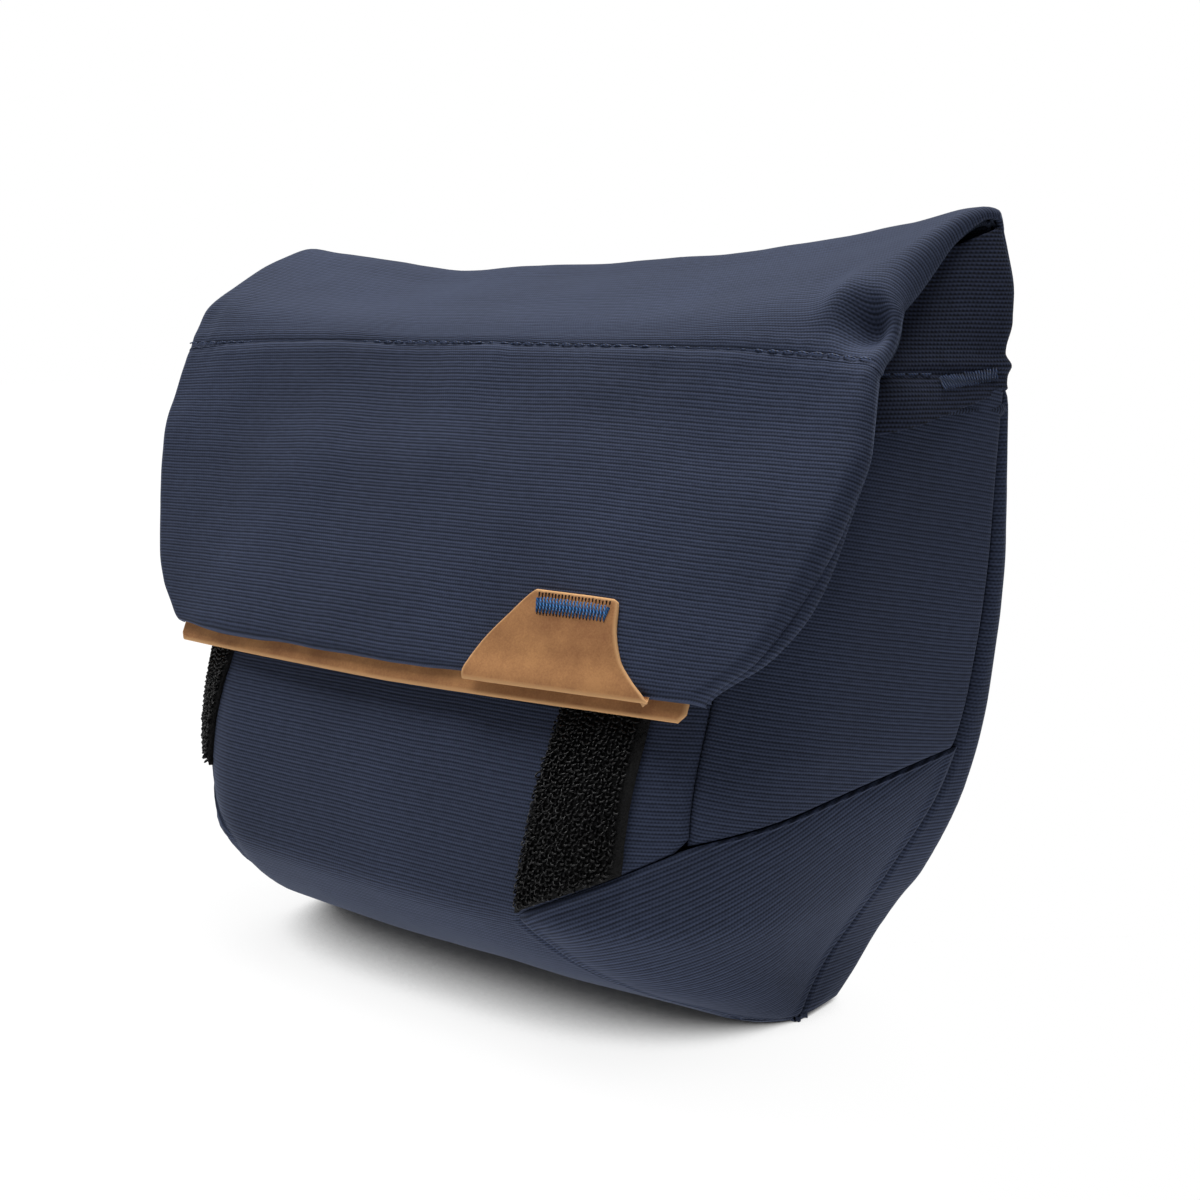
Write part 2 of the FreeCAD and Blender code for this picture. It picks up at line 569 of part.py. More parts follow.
# The slider is a channel that straddles the coil; it is drawn closed, at the left end.
padded("zip_slider", "YZ_Plane", [
    ("slider_back", "zip_height - slider_high / 2"), ("slider_back", "zip_height - slider_channel"),
    ("slider_face", "zip_height - slider_channel"), ("slider_face", "zip_height + slider_channel"),
    ("slider_back", "zip_height + slider_channel"), ("slider_back", "zip_height + slider_high / 2"),
    ("slider_face - slider_wall", "zip_height + slider_high / 2"),
    ("slider_face - slider_wall", "zip_height - slider_high / 2"),
], "slider_x - slider_long / 2", "slider_long")
padded("zip_pull", "YZ_Plane",
       box_points("pull_back - pull_thick", "pull_back", "zip_height - pull_long", "zip_height"),
       "slider_x - pull_wide / 2", "pull_wide")

# Slip pocket on the inside of the front wall, with an elastic binding along its mouth.
ON_WALL = ("0", "waist_face", "waist_height", "x", "90 deg - wall_angle")
padded("slip_pocket", "XY_Plane", box_points("-slip_half", "slip_half", "slip_start", "slip_top"),
       "-(slip_at + pocket_cloth)", "pocket_cloth", ON_WALL)
padded("slip_pocket_elastic", "XY_Plane",
       box_points("-slip_half", "slip_half", "slip_top - slip_binding", "slip_top"),
       "-(slip_at + 2 * pocket_cloth + ply_gap)", "pocket_cloth", ON_WALL)

# ---------------------------------------------------------------- recompute, check, write
doc.recompute()
for obj in doc.Objects:
    if "Invalid" in obj.State or "Error" in obj.State:
        raise RuntimeError(f"{obj.Label} failed: {obj.State}")
for obj in nodes:
    if obj.Shape.isNull() or not obj.Shape.isValid() or not obj.Shape.Solids:
        raise RuntimeError(f"{obj.Label} has no valid solid")
os.makedirs("parts", exist_ok=True)
for obj in nodes:
    Part.makeCompound(obj.Shape.Solids).exportStep(os.path.join("parts", obj.Label + ".step"))
print(len(nodes), "sub-parts written")
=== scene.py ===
"""Fold-over soft case for brushes and small tools, dressed over its packed construction.

The case is made in the order in which it is sewn: the tub's panels, the lining and its pockets, the
collars at the mouth, the loop strips, the flap with its suede edge and pull tab, the belt loops.
"""
import math

import bmesh
import bpy
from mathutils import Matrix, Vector, noise


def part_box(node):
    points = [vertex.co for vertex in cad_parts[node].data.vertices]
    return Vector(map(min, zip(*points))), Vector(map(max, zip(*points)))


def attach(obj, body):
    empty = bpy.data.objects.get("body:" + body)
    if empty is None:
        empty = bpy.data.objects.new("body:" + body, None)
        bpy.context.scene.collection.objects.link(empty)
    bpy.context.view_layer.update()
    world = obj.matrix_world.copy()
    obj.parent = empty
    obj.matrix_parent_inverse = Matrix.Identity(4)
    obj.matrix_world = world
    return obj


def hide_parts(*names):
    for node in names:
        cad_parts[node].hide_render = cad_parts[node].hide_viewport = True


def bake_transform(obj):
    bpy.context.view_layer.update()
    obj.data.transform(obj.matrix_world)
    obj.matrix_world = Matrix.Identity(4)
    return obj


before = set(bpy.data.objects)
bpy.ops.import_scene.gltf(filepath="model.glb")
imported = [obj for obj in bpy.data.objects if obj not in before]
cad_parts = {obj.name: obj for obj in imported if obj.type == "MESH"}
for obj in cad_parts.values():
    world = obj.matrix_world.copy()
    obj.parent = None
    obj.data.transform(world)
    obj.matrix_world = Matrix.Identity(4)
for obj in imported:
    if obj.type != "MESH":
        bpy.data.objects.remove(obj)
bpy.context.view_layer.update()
MM = 0.001
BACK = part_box("back_panel")[1].y        # outer face of the back wall

# ---------------------------------------------------------------- ribbed canvas
# Tightly woven cotton and nylon canvas in navy: thick weft cords, 0.86 mm apart, lie under a fine warp,
# which gives matt ribs that catch the light on their crowns and stay dark between them. The colour paints
# this in as well: painted light on the crowns and painted shade between the cords, on top of the bump.


def linear(colour):
    """An sRGB hex colour as the linear RGBA that shader sockets take."""
    parts = [int(colour[i:i + 2], 16) / 255 for i in (1, 3, 5)]
    return [c / 12.92 if c <= 0.04045 else ((c + 0.055) / 1.055) ** 2.4 for c in parts] + [1.0]


def add(tree, kind, links=None, **settings):
    """Adds a node with its settings; links gives each input a value, or the socket or node that feeds it."""
    made = tree.nodes.new("ShaderNode" + kind)
    for name, value in settings.items():
        setattr(made, name, value)
    for key, value in (links or {}).items():
        value = value.outputs[0] if isinstance(value, bpy.types.Node) else value
        if isinstance(value, bpy.types.NodeSocket):
            tree.links.new(value, made.inputs[key])
        else:
            made.inputs[key].default_value = value
    return made


def material(name, **sockets):
    """A new material, its node tree and its surface shader with those sockets set."""
    made = bpy.data.materials.new(name)
    made.use_nodes = True
    shader = made.node_tree.nodes["Principled BSDF"]
    for key, value in sockets.items():
        shader.inputs[key.replace("_", " ")].default_value = value
    return made, made.node_tree, shader


def woven(name, low, high, across, along, bead, depth, sheen=0.12, pairs=0.0):
    """Cloth on the piece's own thread coordinates, in millimetres.

    low and high are the colours between and on the cords, mixed by the relief's height: painted shade between
    the cords and painted light on their crowns, with random slub; across is the spacing of the cords, along the
    spacing of the threads over them, bead how strongly those show, depth the height of the relief; pairs
    makes every other cord stand higher."""
    made, tree, shader = material(name, Roughness=0.88, Sheen_Weight=sheen, Sheen_Roughness=0.3,
                                  Sheen_Tint=linear("#8d9ab8"), Specular_IOR_Level=0.22)
    threads = add(tree, "UVMap", uv_map="threads")
    wander = add(tree, "TexNoise", {"Vector": threads, "Scale": 0.03, "Detail": 2.0}).outputs["Fac"]
    xyz = add(tree, "SeparateXYZ", {0: threads})
    swing = add(tree, "Math", {0: wander, 1: 7.0}, operation="MULTIPLY")
    cord = add(tree, "Math", {0: xyz.outputs["Y"], 1: 2 * math.pi / across, 2: swing},
               operation="MULTIPLY_ADD")
    cord_wave = add(tree, "Math", {0: cord}, operation="SINE")
    half = add(tree, "Math", {0: cord, 1: 0.5}, operation="MULTIPLY")
    flip = add(tree, "Math", {0: half}, operation="COSINE")
    warp = add(tree, "Math", {0: xyz.outputs["X"], 1: 2 * math.pi / along}, operation="MULTIPLY")
    warp_wave = add(tree, "Math", {0: warp}, operation="COSINE")
    beads = add(tree, "Math", {0: warp_wave, 1: flip}, operation="MULTIPLY")
    beads = add(tree, "Math", {0: beads, 1: bead, 2: cord_wave}, operation="MULTIPLY_ADD")
    every_other = add(tree, "Math", {0: half}, operation="SINE")
    beads = add(tree, "Math", {0: every_other, 1: pairs, 2: beads}, operation="MULTIPLY_ADD")
    stretch = add(tree, "Mapping", {"Vector": threads, "Scale": (0.35, 1.4, 1.0)})
    slub = add(tree, "TexNoise", {"Vector": stretch, "Scale": 1.0, "Detail": 5.0,
                                  "Roughness": 0.7}).outputs["Fac"]
    relief = add(tree, "Math", {0: slub, 1: 2.4, 2: beads}, operation="MULTIPLY_ADD")
    level = add(tree, "MapRange", {"Value": relief, "From Min": 0.6 - bead - pairs / 2,
                                   "From Max": 2.1 + bead + pairs / 2})
    cloud = add(tree, "TexNoise", {"Vector": threads, "Scale": 0.022, "Detail": 4.0}).outputs["Fac"]
    shade = add(tree, "MapRange", {"Value": cloud, "From Min": 0.25, "From Max": 0.75,
                                   "To Min": 0.86, "To Max": 1.12})
    # The relief's height, which also drives the bump, mixes the colours: painted shade between the cords and painted
    # light on their crowns, with random slub and cloud tone.
    tone = add(tree, "Mix", {0: level, 6: linear(low), 7: linear(high)}, data_type="RGBA")
    colour = tone.outputs[2]
    shaded = add(tree, "VectorMath", {0: colour, "Scale": shade}, operation="SCALE").outputs[0]
    tree.links.new(shaded, shader.inputs["Base Color"])
    bump = add(tree, "Bump", {"Height": level, "Strength": 0.5, "Distance": depth * MM})
    tree.links.new(bump.outputs[0], shader.inputs["Normal"])
    return made


CANVAS = woven("ribbed_canvas", "#191f2d", "#404962", across=0.86, along=0.8, bead=0.5, depth=0.16, sheen=0.3,
               pairs=0.32)

# ---------------------------------------------------------------- the tub's outer shape
# The standing case: a keel on the ground, a round belly, and walls that close in towards the mouth.
# Rows give, at a height, the half widths at back and front, the depth, the radius of the front
# corners, how far the back is drawn in, and how deep the seam round the back panel lies.
SKIN = [
    (0.0, 86.0, 88.5, 44.0, 13.0, 14.5, 35.0),
    (3.0, 86.6, 89.0, 51.0, 16.0, 11.5, 33.0),
    (7.0, 87.6, 89.5, 59.0, 20.0, 9.0, 31.0),
    (15.0, 90.0, 90.5, 74.0, 28.0, 4.5, 26.0),
    (25.0, 95.5, 92.0, 86.0, 36.0, 1.0, 20.0),
    (35.0, 102.8, 93.5, 93.0, 42.0, 0.0, 18.0),
    (60.0, 115.4, 96.0, 89.5, 43.0, 0.0, 11.0),
    (84.0, 121.4, 98.5, 80.5, 42.0, 0.0, 8.5),
    (120.0, 124.8, 105.0, 63.5, 31.0, 0.0, 7.0),
    (150.0, 124.2, 112.0, 49.0, 20.0, 0.0, 5.0),
]
MOUTH = 150.0
BACK_CORNER = 5.0
FRONT_BOW = 3.0
LEFT_SLACK = 0.075         # the left end of the standing case hangs that much slacker than the right


def through(rows, at):
    """The values of rows of (place, values...) at a place, on a smooth curve that doesn't overshoot."""
    if at <= rows[0][0]:
        return rows[0][1:]
    if at >= rows[-1][0]:
        return rows[-1][1:]
    i = max(k for k in range(len(rows) - 1) if rows[k][0] <= at)
    span = rows[i + 1][0] - rows[i][0]
    t = (at - rows[i][0]) / span

    def slope(k, column):
        if k in (0, len(rows) - 1):
            k, m = (0, 1) if k == 0 else (k - 1, k)
            return (rows[m][column] - rows[k][column]) / (rows[m][0] - rows[k][0])
        before = (rows[k][column] - rows[k - 1][column]) / (rows[k][0] - rows[k - 1][0])
        after = (rows[k + 1][column] - rows[k][column]) / (rows[k + 1][0] - rows[k][0])
        return 2 * before * after / (before + after) if before * after > 0 else 0.0

    return [(2 * t ** 3 - 3 * t ** 2 + 1) * rows[i][c] + (t ** 3 - 2 * t ** 2 + t) * span * slope(i, c)
            + (3 * t ** 2 - 2 * t ** 3) * rows[i + 1][c] + (t ** 3 - t ** 2) * span * slope(i + 1, c)
            for c in range(1, len(rows[0]))]


rings = {}


def ring(height, inset=0.0):
    """Half a cross-section, front middle to back middle, as (x, y, distance along it); y is 0 at the back."""
    key = (round(height, 2), inset)
    if key in rings:
        return rings[key]
    back, front, depth, radius, tuck, _ = through(SKIN, height)
    corners = [Vector((0, -depth + inset)), Vector((front - inset, -depth + inset)),
               Vector((back - inset, -tuck - inset)), Vector((0, -tuck - inset))]
    line = [corners[0]]
    for i, size, steps in ((1, max(radius - inset, 3.0), 18), (2, max(BACK_CORNER - inset, 2.0), 8)):
        before = (corners[i - 1] - corners[i]).normalized()
        after = (corners[i + 1] - corners[i]).normalized()
        half = before.angle(after) / 2
        middle = corners[i] + (before + after).normalized() * size / math.sin(half)
        start = corners[i] + before * size / math.tan(half) - middle
        turn = (math.pi - 2 * half) / steps
        for k in range(steps + 1):
            c, s = math.cos(turn * k), math.sin(turn * k)
            line.append(middle + Vector((start.x * c - start.y * s, start.x * s + start.y * c)))
    line.append(corners[3])
    out, run = [], 0.0
    for k, p in enumerate(line):
        bow = FRONT_BOW * max(0.0, 1 - (p.x / front) ** 2) if p.y < -depth / 2 else 0.0
        q = Vector((p.x, p.y - bow + FRONT_BOW * 0.8 if p.y < -depth / 2 else p.y))
        run += (q - Vector(out[-1][:2])).length if out else 0.0
        out.append((q.x, q.y, run))
    rings[key] = out
    return out


def on_ring(height, s, inset=0.0):
    """The point at distance s along a cross-section from the front middle; s is below 0 on the left."""
    line = ring(height, inset)
    side = -1 + LEFT_SLACK * min(1.0, (MOUTH - min(height, MOUTH)) / 40) if s < 0 else 1
    s = min(abs(s), line[-1][2])
    for (x0, y0, s0), (x1, y1, s1) in zip(line, line[1:]):
        if s <= s1:
            t = (s - s0) / max(s1 - s0, 1e-9)
            return side * (x0 + (x1 - x0) * t), y0 + (y1 - y0) * t
    return side * line[-1][0], line[-1][1]


def crossing(height, test, inset=0.0):
    """The first distance along a cross-section at which test(x, y) turns positive."""
    line = ring(height, inset)
    for (x0, y0, s0), (x1, y1, s1) in zip(line, line[1:]):
        a, b = test(x0, y0), test(x1, y1)
        if a <= 0 < b:
            return s0 + (s1 - s0) * a / (a - b)
    return line[-1][2]


def climb(height):
    """Distance up the front wall from the ground, so that threads keep their spacing on the belly."""
    steps = 24
    run, last = 0.0, None
    for k in range(steps + 1):
        z = height * k / steps
        p = Vector((-through(SKIN, z)[2], z))
        run += (p - last).length if last else 0.0
        last = p
    return run


# Seams, as distances along the cross-section at a height.  A is where the corner panel's slanted seam
# starts on the belly, M where it meets the upright side seam, B where it ends on the back seam, and C
# the corner panel's foot.
A_X, A_Y, A_Z = 48.5, -91.0, 33.6
M_X, M_Z, B_Z = 87.4, 53.6, 69.0
C_X, C_Y = 88.5, -35.0
LEFT_SEAMS = 17.0           # the left front seams lie that much further round


def back_seam(z):
    depth = through(SKIN, z)[5]
    return crossing(z, lambda x, y: y + depth if x > 20 else -1)


def side_seam(z):
    return crossing(z, lambda x, y: x - (M_X + (z - M_Z) * 0.03))


def slant_seam(z):
    if z < A_Z:
        return min(crossing(z, lambda x, y: (C_X - A_X) * (y - A_Y) * -1 + (C_Y - A_Y) * (x - A_X)),
                   crossing(z, lambda x, y: y - C_Y if x > 20 else -1))
    if z < M_Z:
        start, end = crossing(A_Z, lambda x, y: x - A_X), side_seam(M_Z)
        return start + (end - start) * (z - A_Z) / (M_Z - A_Z)
    start, end = side_seam(M_Z), back_seam(B_Z)
    return start + (end - start) * min(1.0, (z - M_Z) / (B_Z - M_Z))


# ---------------------------------------------------------------- the tub's panels
# Padded canvas panels, sewn face to face and turned out, so each one swells between its seams and
# dives into them.  The front panel runs from the mouth down round the belly and under the keel.


def spread(t):
    """Evenly counted steps brought closer together towards both ends."""
    return t - 0.13 * math.sin(2 * math.pi * t)


def crumple(p, size, height):
    """Soft unevenness of a hand-filled pad at a point in millimetres."""
    return height * noise.noise(Vector((p[0] / size, p[1] / size, p[2] / size)))


def placed(name, data):
    """A new object with this data, put in the scene."""
    made = bpy.data.objects.new(name, data)
    bpy.context.collection.objects.link(made)
    return made


def cloth(name, across, up, place, crown=1.6, dive=1.0, wrinkle=0.5, thick=1.2, lift=0.0, rough=0.0,
          lip=0.0, ground=0.25, outward=None, finish=None):
    """A panel of cloth: place(u, v) gives a point, its thread coordinates and its distance to a seam.

    Points are in millimetres with y 0 at the back wall's face.  The panel swells by crown away from its
    seams, dives by dive into them with a lip beside them, and stays above ground; lift and rough stand
    the whole face off and make it uneven; outward is a point that it faces away from."""
    bm = bmesh.new()
    bmesh.ops.create_grid(bm, x_segments=across, y_segments=up, size=0.5)
    threads = bm.loops.layers.uv.new("threads")
    edge = bm.verts.layers.float.new("edge")
    weave = {}
    for v in bm.verts:
        point, thread, seam = place(min(1.0, max(0.0, v.co.x + 0.5)), min(1.0, max(0.0, v.co.y + 0.5)))
        v.co = point
        v[edge] = seam
        weave[v.index] = thread
    for f in bm.faces:
        for loop in f.loops:
            loop[threads].uv = weave[loop.vert.index]
    bmesh.ops.remove_doubles(bm, verts=bm.verts, dist=0.02)
    bm.verts.index_update()
    bm.normal_update()
    centre = Vector(outward or (0, -40, 60))
    if sum(f.normal.dot(f.calc_center_median() - centre) * f.calc_area() for f in bm.faces) < 0:
        bmesh.ops.reverse_faces(bm, faces=bm.faces)
        bm.normal_update()
    normals = {v.index: v.normal.copy() for v in bm.verts}
    for v in bm.verts:
        d = v[edge] = max(0.0, v[edge])
        swell = lift + crown * (1 - math.exp(-d / 12)) - dive * math.exp(-d / 1.3) * min(1.0, max(0.0, v.co.z / 4))
        swell += crumple(v.co, 34, wrinkle) * (1 - math.exp(-d / 6)) + crumple(v.co, 9, 0.16 * wrinkle)
        if rough:
            swell += crumple(v.co, 0.9, rough)
        if lip:
            swell += lip * math.exp(-((d - 2.0) / 1.3) ** 2)
        way = normals[v.index].copy()
        way.z *= min(1.0, max(0.0, v.co.z / 8)) if way.z < 0 else 1.0
        v.co += way * swell
        v.co.z = max(v.co.z, ground)
    for v in bm.verts:
        v.co = Vector((v.co.x * MM, BACK + v.co.y * MM, v.co.z * MM))
    if not thick:
        bmesh.ops.holes_fill(bm, edges=[e for e in bm.edges if e.is_boundary], sides=0)
    mesh = bpy.data.meshes.new(name)
    bm.to_mesh(mesh)
    bm.free()
    mesh.shade_smooth()
    piece = placed(name, mesh)
    if thick:
        wall = piece.modifiers.new("ply", "SOLIDIFY")
        wall.thickness, wall.offset, wall.use_rim = thick * MM, -1.0, True
    piece.data.materials.append(finish or CANVAS)
    return piece


UNDER = 9.0                # how far the front panel runs back under the keel
FLOOR_SHARE = 0.05


def front_place(u, v):
    v = spread(v)
    under = max(0.0, FLOOR_SHARE - v) / FLOOR_SHARE
    z = MOUTH * max(0.0, v - FLOOR_SHARE) / (1 - FLOOR_SHARE)
    end = side_seam(z) if z > M_Z else slant_seam(z)
    end = min(end + LEFT_SEAMS, max(end, back_seam(max(z, 0.0)))) if u < 0.5 else end
    s = end * (2 * spread(u) - 1)
    x, y = on_ring(z, s)
    t = climb(z)
    return (x, y + UNDER * under, z), (s, t - UNDER * under), min(end - abs(s), (MOUTH - z) * 0.8 + 0.5)


front = cloth("front_panel.cover", 110, 90, front_place, crown=1.2, lip=0.25)
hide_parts("front_panel", "front_foam")
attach(front, "pouch")

for word, side in (("right", 1), ("left", -1)):
    shift = 0.0 if side > 0 else LEFT_SEAMS

    def side_place(u, v):
        z = M_Z + (MOUTH - M_Z) * spread(v)
        first = side_seam(z) + shift
        last = max(first, min(slant_seam(z) + shift, back_seam(z)) if z < B_Z else back_seam(z))
        s = first + (last - first) * spread(u)
        x, y = on_ring(z, side * s)
        run = s - side_seam(MOUTH)
        low = (z - M_Z) * 0.8 if z < B_Z else 30.0
        rise = max(0.0, 6.5 - 0.25 * abs(y)) * max(0.0, (z - 120) / 30) ** 2
        return (x + side * 0.16 * rise, y, z + rise), (side * run, climb(z) + rise + 0.18 * run), min(
            s - first, last - s, low + 0.3, MOUTH - z + 0.5 + 1.2 * rise)

    def corner_place(u, v):
        z = B_Z * spread(v)
        last = back_seam(z)
        first = min(last, slant_seam(z) + shift)
        s = first + max(0.0, last - first) * spread(u)
        x, y = on_ring(z, side * s)
        slope = 0.43
        t = climb(z) * 0.9
        return (x, y, z), (side * (s * math.cos(slope) + t * math.sin(slope)),
                           t * math.cos(slope) - 0.9 * s * math.sin(slope)), min((s - first) * 0.8, last - s)

    for name, place, across, up, lip, dive in (("side_panel", side_place, 52, 70, 0.1, 1.9),
                                               ("corner_panel", corner_place, 64, 70, 0.55, 0.2)):
        piece = cloth(f"{name}_{word}.cover", across, up, place, crown=1.2, dive=dive, lip=lip, ground=0.9)
        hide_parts(f"{name}_{word}", *([f"side_foam_{word}"] if name == "side_panel" else []))
        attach(piece, "pouch")

# ---------------------------------------------------------------- the back panel
# One padded panel from under the keel to the top fold; it is thicker than the others and its edge
# stands out past the seam as a soft band.  Above the mouth it is a single sheet with a wavy edge.
FOLD_MIDDLE, FOLD_END = 187.0, 194.5
# Height, then the half width of the back's edge above the mouth.
BACK_EDGE = [(150.0, 124.0), (153.5, 123.4), (155.6, 122.3), (159.3, 124.0), (162.5, 121.4), (170.0, 124.0),
             (177.0, 124.2), (187.0, 122.2), (196.0, 119.8)]
# Place across the case from its left end to its right, then how high the top fold stands there.
FOLD = [(-1.0, 1.0), (-0.72, 0.3), (-0.36, -0.22), (0.0, -0.2), (0.34, -0.06), (0.6, 0.17), (0.8, 0.55), (0.93, 0.94),
        (1.0, 1.0)]


def sag(x, half=120.0):
    """How much of the top fold's end height a place across the case has, about 0 in the middle, 1 at the ends."""
    return through(FOLD, x / half)[0]


TURNED = 0.08              # share of the back panel that runs forward under the keel


def back_place(u, v):
    v = v * (1 + TURNED) - TURNED
    top = FOLD_END * max(0.0, v)
    z = min(top, MOUTH)
    first, last = back_seam(z), ring(z)[-1][2]
    half = 2 * spread(u) - 1
    s = last - (last - first) * abs(half)
    x, y = on_ring(z, s if half < 0 else -s)
    if v < 0:
        y += min(0.0, -35.0 - y) * -v / TURNED
    if top > MOUTH:
        share = (top - MOUTH) / (FOLD_END - MOUTH)
        z = MOUTH + (FOLD_MIDDLE + (FOLD_END - FOLD_MIDDLE) * sag(x) - 1.5 - MOUTH) * share
        x *= through(BACK_EDGE, top)[0] / BACK_EDGE[0][1]
        y *= 1 - 0.5 * share
    return (x, y, z), (math.copysign(last - s, x), top), min(s - first, 60.0, 3.0 + 1.2 * z)


back = cloth("back_panel.cover", 120, 110, back_place, crown=2.0, dive=2.0, thick=1.4, lip=0.3, ground=1.45,
             outward=(0, -45, 80))
for v in back.data.vertices:
    v.co.y = min(v.co.y, BACK + 0.0001)
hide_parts("back_panel", "back_foam", "back_stiffener")
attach(back, "pouch")

# ---------------------------------------------------------------- lining and mouth
# A plain-woven lining stands inside the padding on a hidden board; tape binds the mouth's raw edges.
LINING = woven("lining_cloth", "#1c212d", "#3d465a", across=0.8, along=0.8, bead=0.8, depth=0.1)
LINING_IN, LINING_FLOOR, LINING_BASE = 5.6, 6.0, 0.18


def lining_place(u, v):
    v = v * (1 + LINING_BASE) - LINING_BASE
    z = LINING_FLOOR + (MOUTH - LINING_FLOOR) * max(0.0, v)
    last = ring(z, LINING_IN)[-1][2]
    s = last * (2 * u - 1)
    x, y = on_ring(z, s, LINING_IN)
    y = min(y, -7.0)
    if v < 0:
        share = 1 + v / LINING_BASE
        x, y = x * share, -30.0 + (y + 30.0) * share
    return (x, y, z), (s, 150 * v), 30.0


lining = cloth("lining.cover", 120, 70, lining_place, crown=0, dive=0, wrinkle=0.8, thick=0.6, outward=(0, -40, 60),
               finish=LINING)
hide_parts("lining", "base_board")
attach(lining, "pouch")

BINDING = woven("grosgrain_tape", "#10141f", "#363f56", across=0.9, along=0.6, bead=0.3, depth=0.15)
BOUND = 5.4                 # thickness of the wall that the tape goes over


def binding_place(u, v):
    end = back_seam(MOUTH) - 0.5
    s = end * (2 * u - 1)
    outer = Vector(on_ring(MOUTH, s))
    inner = Vector(on_ring(MOUTH, s * ring(MOUTH, BOUND)[-1][2] / ring(MOUTH)[-1][2], BOUND))
    angle = 2 * math.pi * v
    p = (outer + inner) / 2 + (outer - inner).normalized() * 3.3 * math.cos(angle)
    return (p.x, p.y, MOUTH - 0.3 + 2.3 * math.sin(angle)), (7 * v, s), 30.0


binding = cloth("mouth_binding.cover", 160, 14, binding_place, crown=0, dive=0, wrinkle=0.3, thick=0,
                outward=(0, -25, 146), finish=BINDING)
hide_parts("mouth_binding")
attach(binding, "pouch")


def top_lining_place(u, v):
    x = 118.5 * (2 * u - 1)
    top = FOLD_MIDDLE + (FOLD_END - FOLD_MIDDLE) * sag(x) - 3.0
    z = MOUTH - 2 + (top - MOUTH + 2) * v
    return (x, -2.4, z), (x, z), 30.0


top_lining = cloth("top_lining.cover", 90, 30, top_lining_place, crown=0, dive=0, wrinkle=0.5, thick=0.6,
                   outward=(0, 40, 170), finish=LINING)
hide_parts("top_lining")
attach(top_lining, "pouch")

# ---------------------------------------------------------------- pockets inside
# A flat zip pocket on the back wall, of lining cloth under a moulded coil zip, and on the front wall a
# slip pocket whose mouth is gathered on elastic.
pocket_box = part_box("zip_pocket_panel")
POCKET = [c / MM for c in (pocket_box[0].x, pocket_box[0].z, pocket_box[1].x, pocket_box[1].z)]


def pocket_place(u, v):
    x, z = POCKET[0] + (POCKET[2] - POCKET[0]) * spread(u), POCKET[1] + (POCKET[3] - POCKET[1]) * spread(v)
    near = min(x - POCKET[0], POCKET[2] - x, z - POCKET[1], POCKET[3] - z)
    return (x, -7.5, z), (x, z), near


pocket = cloth("zip_pocket_panel.cover", 50, 30, pocket_place, crown=1.6, dive=0.4, wrinkle=0.8, thick=0.6,
               outward=(0, 40, 80), finish=LINING)
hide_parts("zip_pocket_panel")
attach(pocket, "pouch")

SLIP_HALF, SLIP_LOW, SLIP_TOP, ELASTIC = 53.0, 88.0, 116.5, 8.0


def slip_place(low, top, stand, gathers):
    def place(u, v):
        z = low + (top - low) * v
        s = SLIP_HALF * (2 * u - 1)
        x, y = on_ring(z, s, LINING_IN + stand)
        ruffle = gathers * math.sin(s * 1.9) * (0.5 + 0.5 * v)
        return (x, y + ruffle, z), (s, z), min(SLIP_HALF - abs(s), 30.0)
    return place


slip = cloth("slip_pocket.cover", 110, 16, slip_place(SLIP_LOW, SLIP_TOP, 1.6, 0.25), crown=0.8, dive=0.2, wrinkle=0.7,
             thick=0.6, outward=(0, -140, 100), finish=LINING)
elastic = cloth("slip_pocket_elastic.cover", 160, 8, slip_place(SLIP_TOP - ELASTIC, SLIP_TOP + 0.6, 3.0, 0.3), crown=0,
                dive=0, wrinkle=0.2, thick=0.8, outward=(0, -140, 100), finish=BINDING)
for piece, node_name, slot_name in ((slip, "slip_pocket", "lining_cloth"), (elastic, "slip_pocket_elastic", "binding")):
    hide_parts(node_name)
    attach(piece, "pouch")

# ---------------------------------------------------------------- the flap
# One width of the same canvas: a roof from the pinched top fold to the cross seam, and a front below
# it.  At the ends of the roof the cloth rolls over towards the side, with a crease above the seam.
# Rows give distance down the flap, then y and z at the ends, y and z in the middle, and half width.
FLAP = [
    (-16.0, 1.3, 180.0, 1.3, 176.0, 119.6),
    (-5.0, 1.6, 190.0, 1.6, 184.2, 120.2),
    (0.0, -1.2, 195.6, -1.2, 188.0, 120.6),
    (4.0, -5.0, 196.2, -5.0, 188.2, 121.2),
    (17.0, -17.0, 192.0, -17.0, 183.8, 122.2),
    (36.0, -34.0, 183.0, -34.0, 176.6, 122.6),
    (50.0, -46.0, 174.5, -46.5, 170.0, 122.4),
    (62.0, -53.0, 163.5, -52.0, 165.0, 121.5),
    (82.0, -60.5, 145.0, -62.0, 147.0, 121.6),
    (96.0, -65.5, 132.0, -69.0, 134.5, 118.6),
    (118.0, -73.0, 111.0, -78.5, 114.0, 111.0),
    (134.0, -79.0, 96.5, -84.5, 98.0, 102.8),
    (144.5, -83.0, 86.7, -88.5, 87.5, 92.0),
    (153.0, -86.4, 79.0, -92.0, 79.8, 88.0),
]
# How much higher the right end hangs, then the left; and how far the right end is drawn in, then the left.
LEAN = [(-16.0, 1.2, -1.2), (0.0, 1.2, -1.2), (62.0, -1.4, 1.4), (144.5, 1.2, 1.0)]
DRAWN = [(-16.0, 0.0, 0.0), (0.0, 0.6, 0.0), (8.0, 4.0, -1.5), (20.0, 8.0, -4.0), (36.0, 9.5, -5.5), (50.0, 7.5, -5.0),
         (62.0, 4.5, -3.0), (82.0, 2.2, -1.2), (104.0, 0.6, -1.6), (130.0, 0.0, -2.2), (153.0, 0.0, -2.2)]
SHOULDER, HEM, FLAP_END = 36.0, 62.0, 144.5


def rolled(distance, radius):
    """How far a cloth edge has turned under at a distance from its outermost line."""
    if distance >= radius:
        return 0.0
    return radius - math.sqrt(max(0.0, radius * radius - (radius - distance) ** 2))


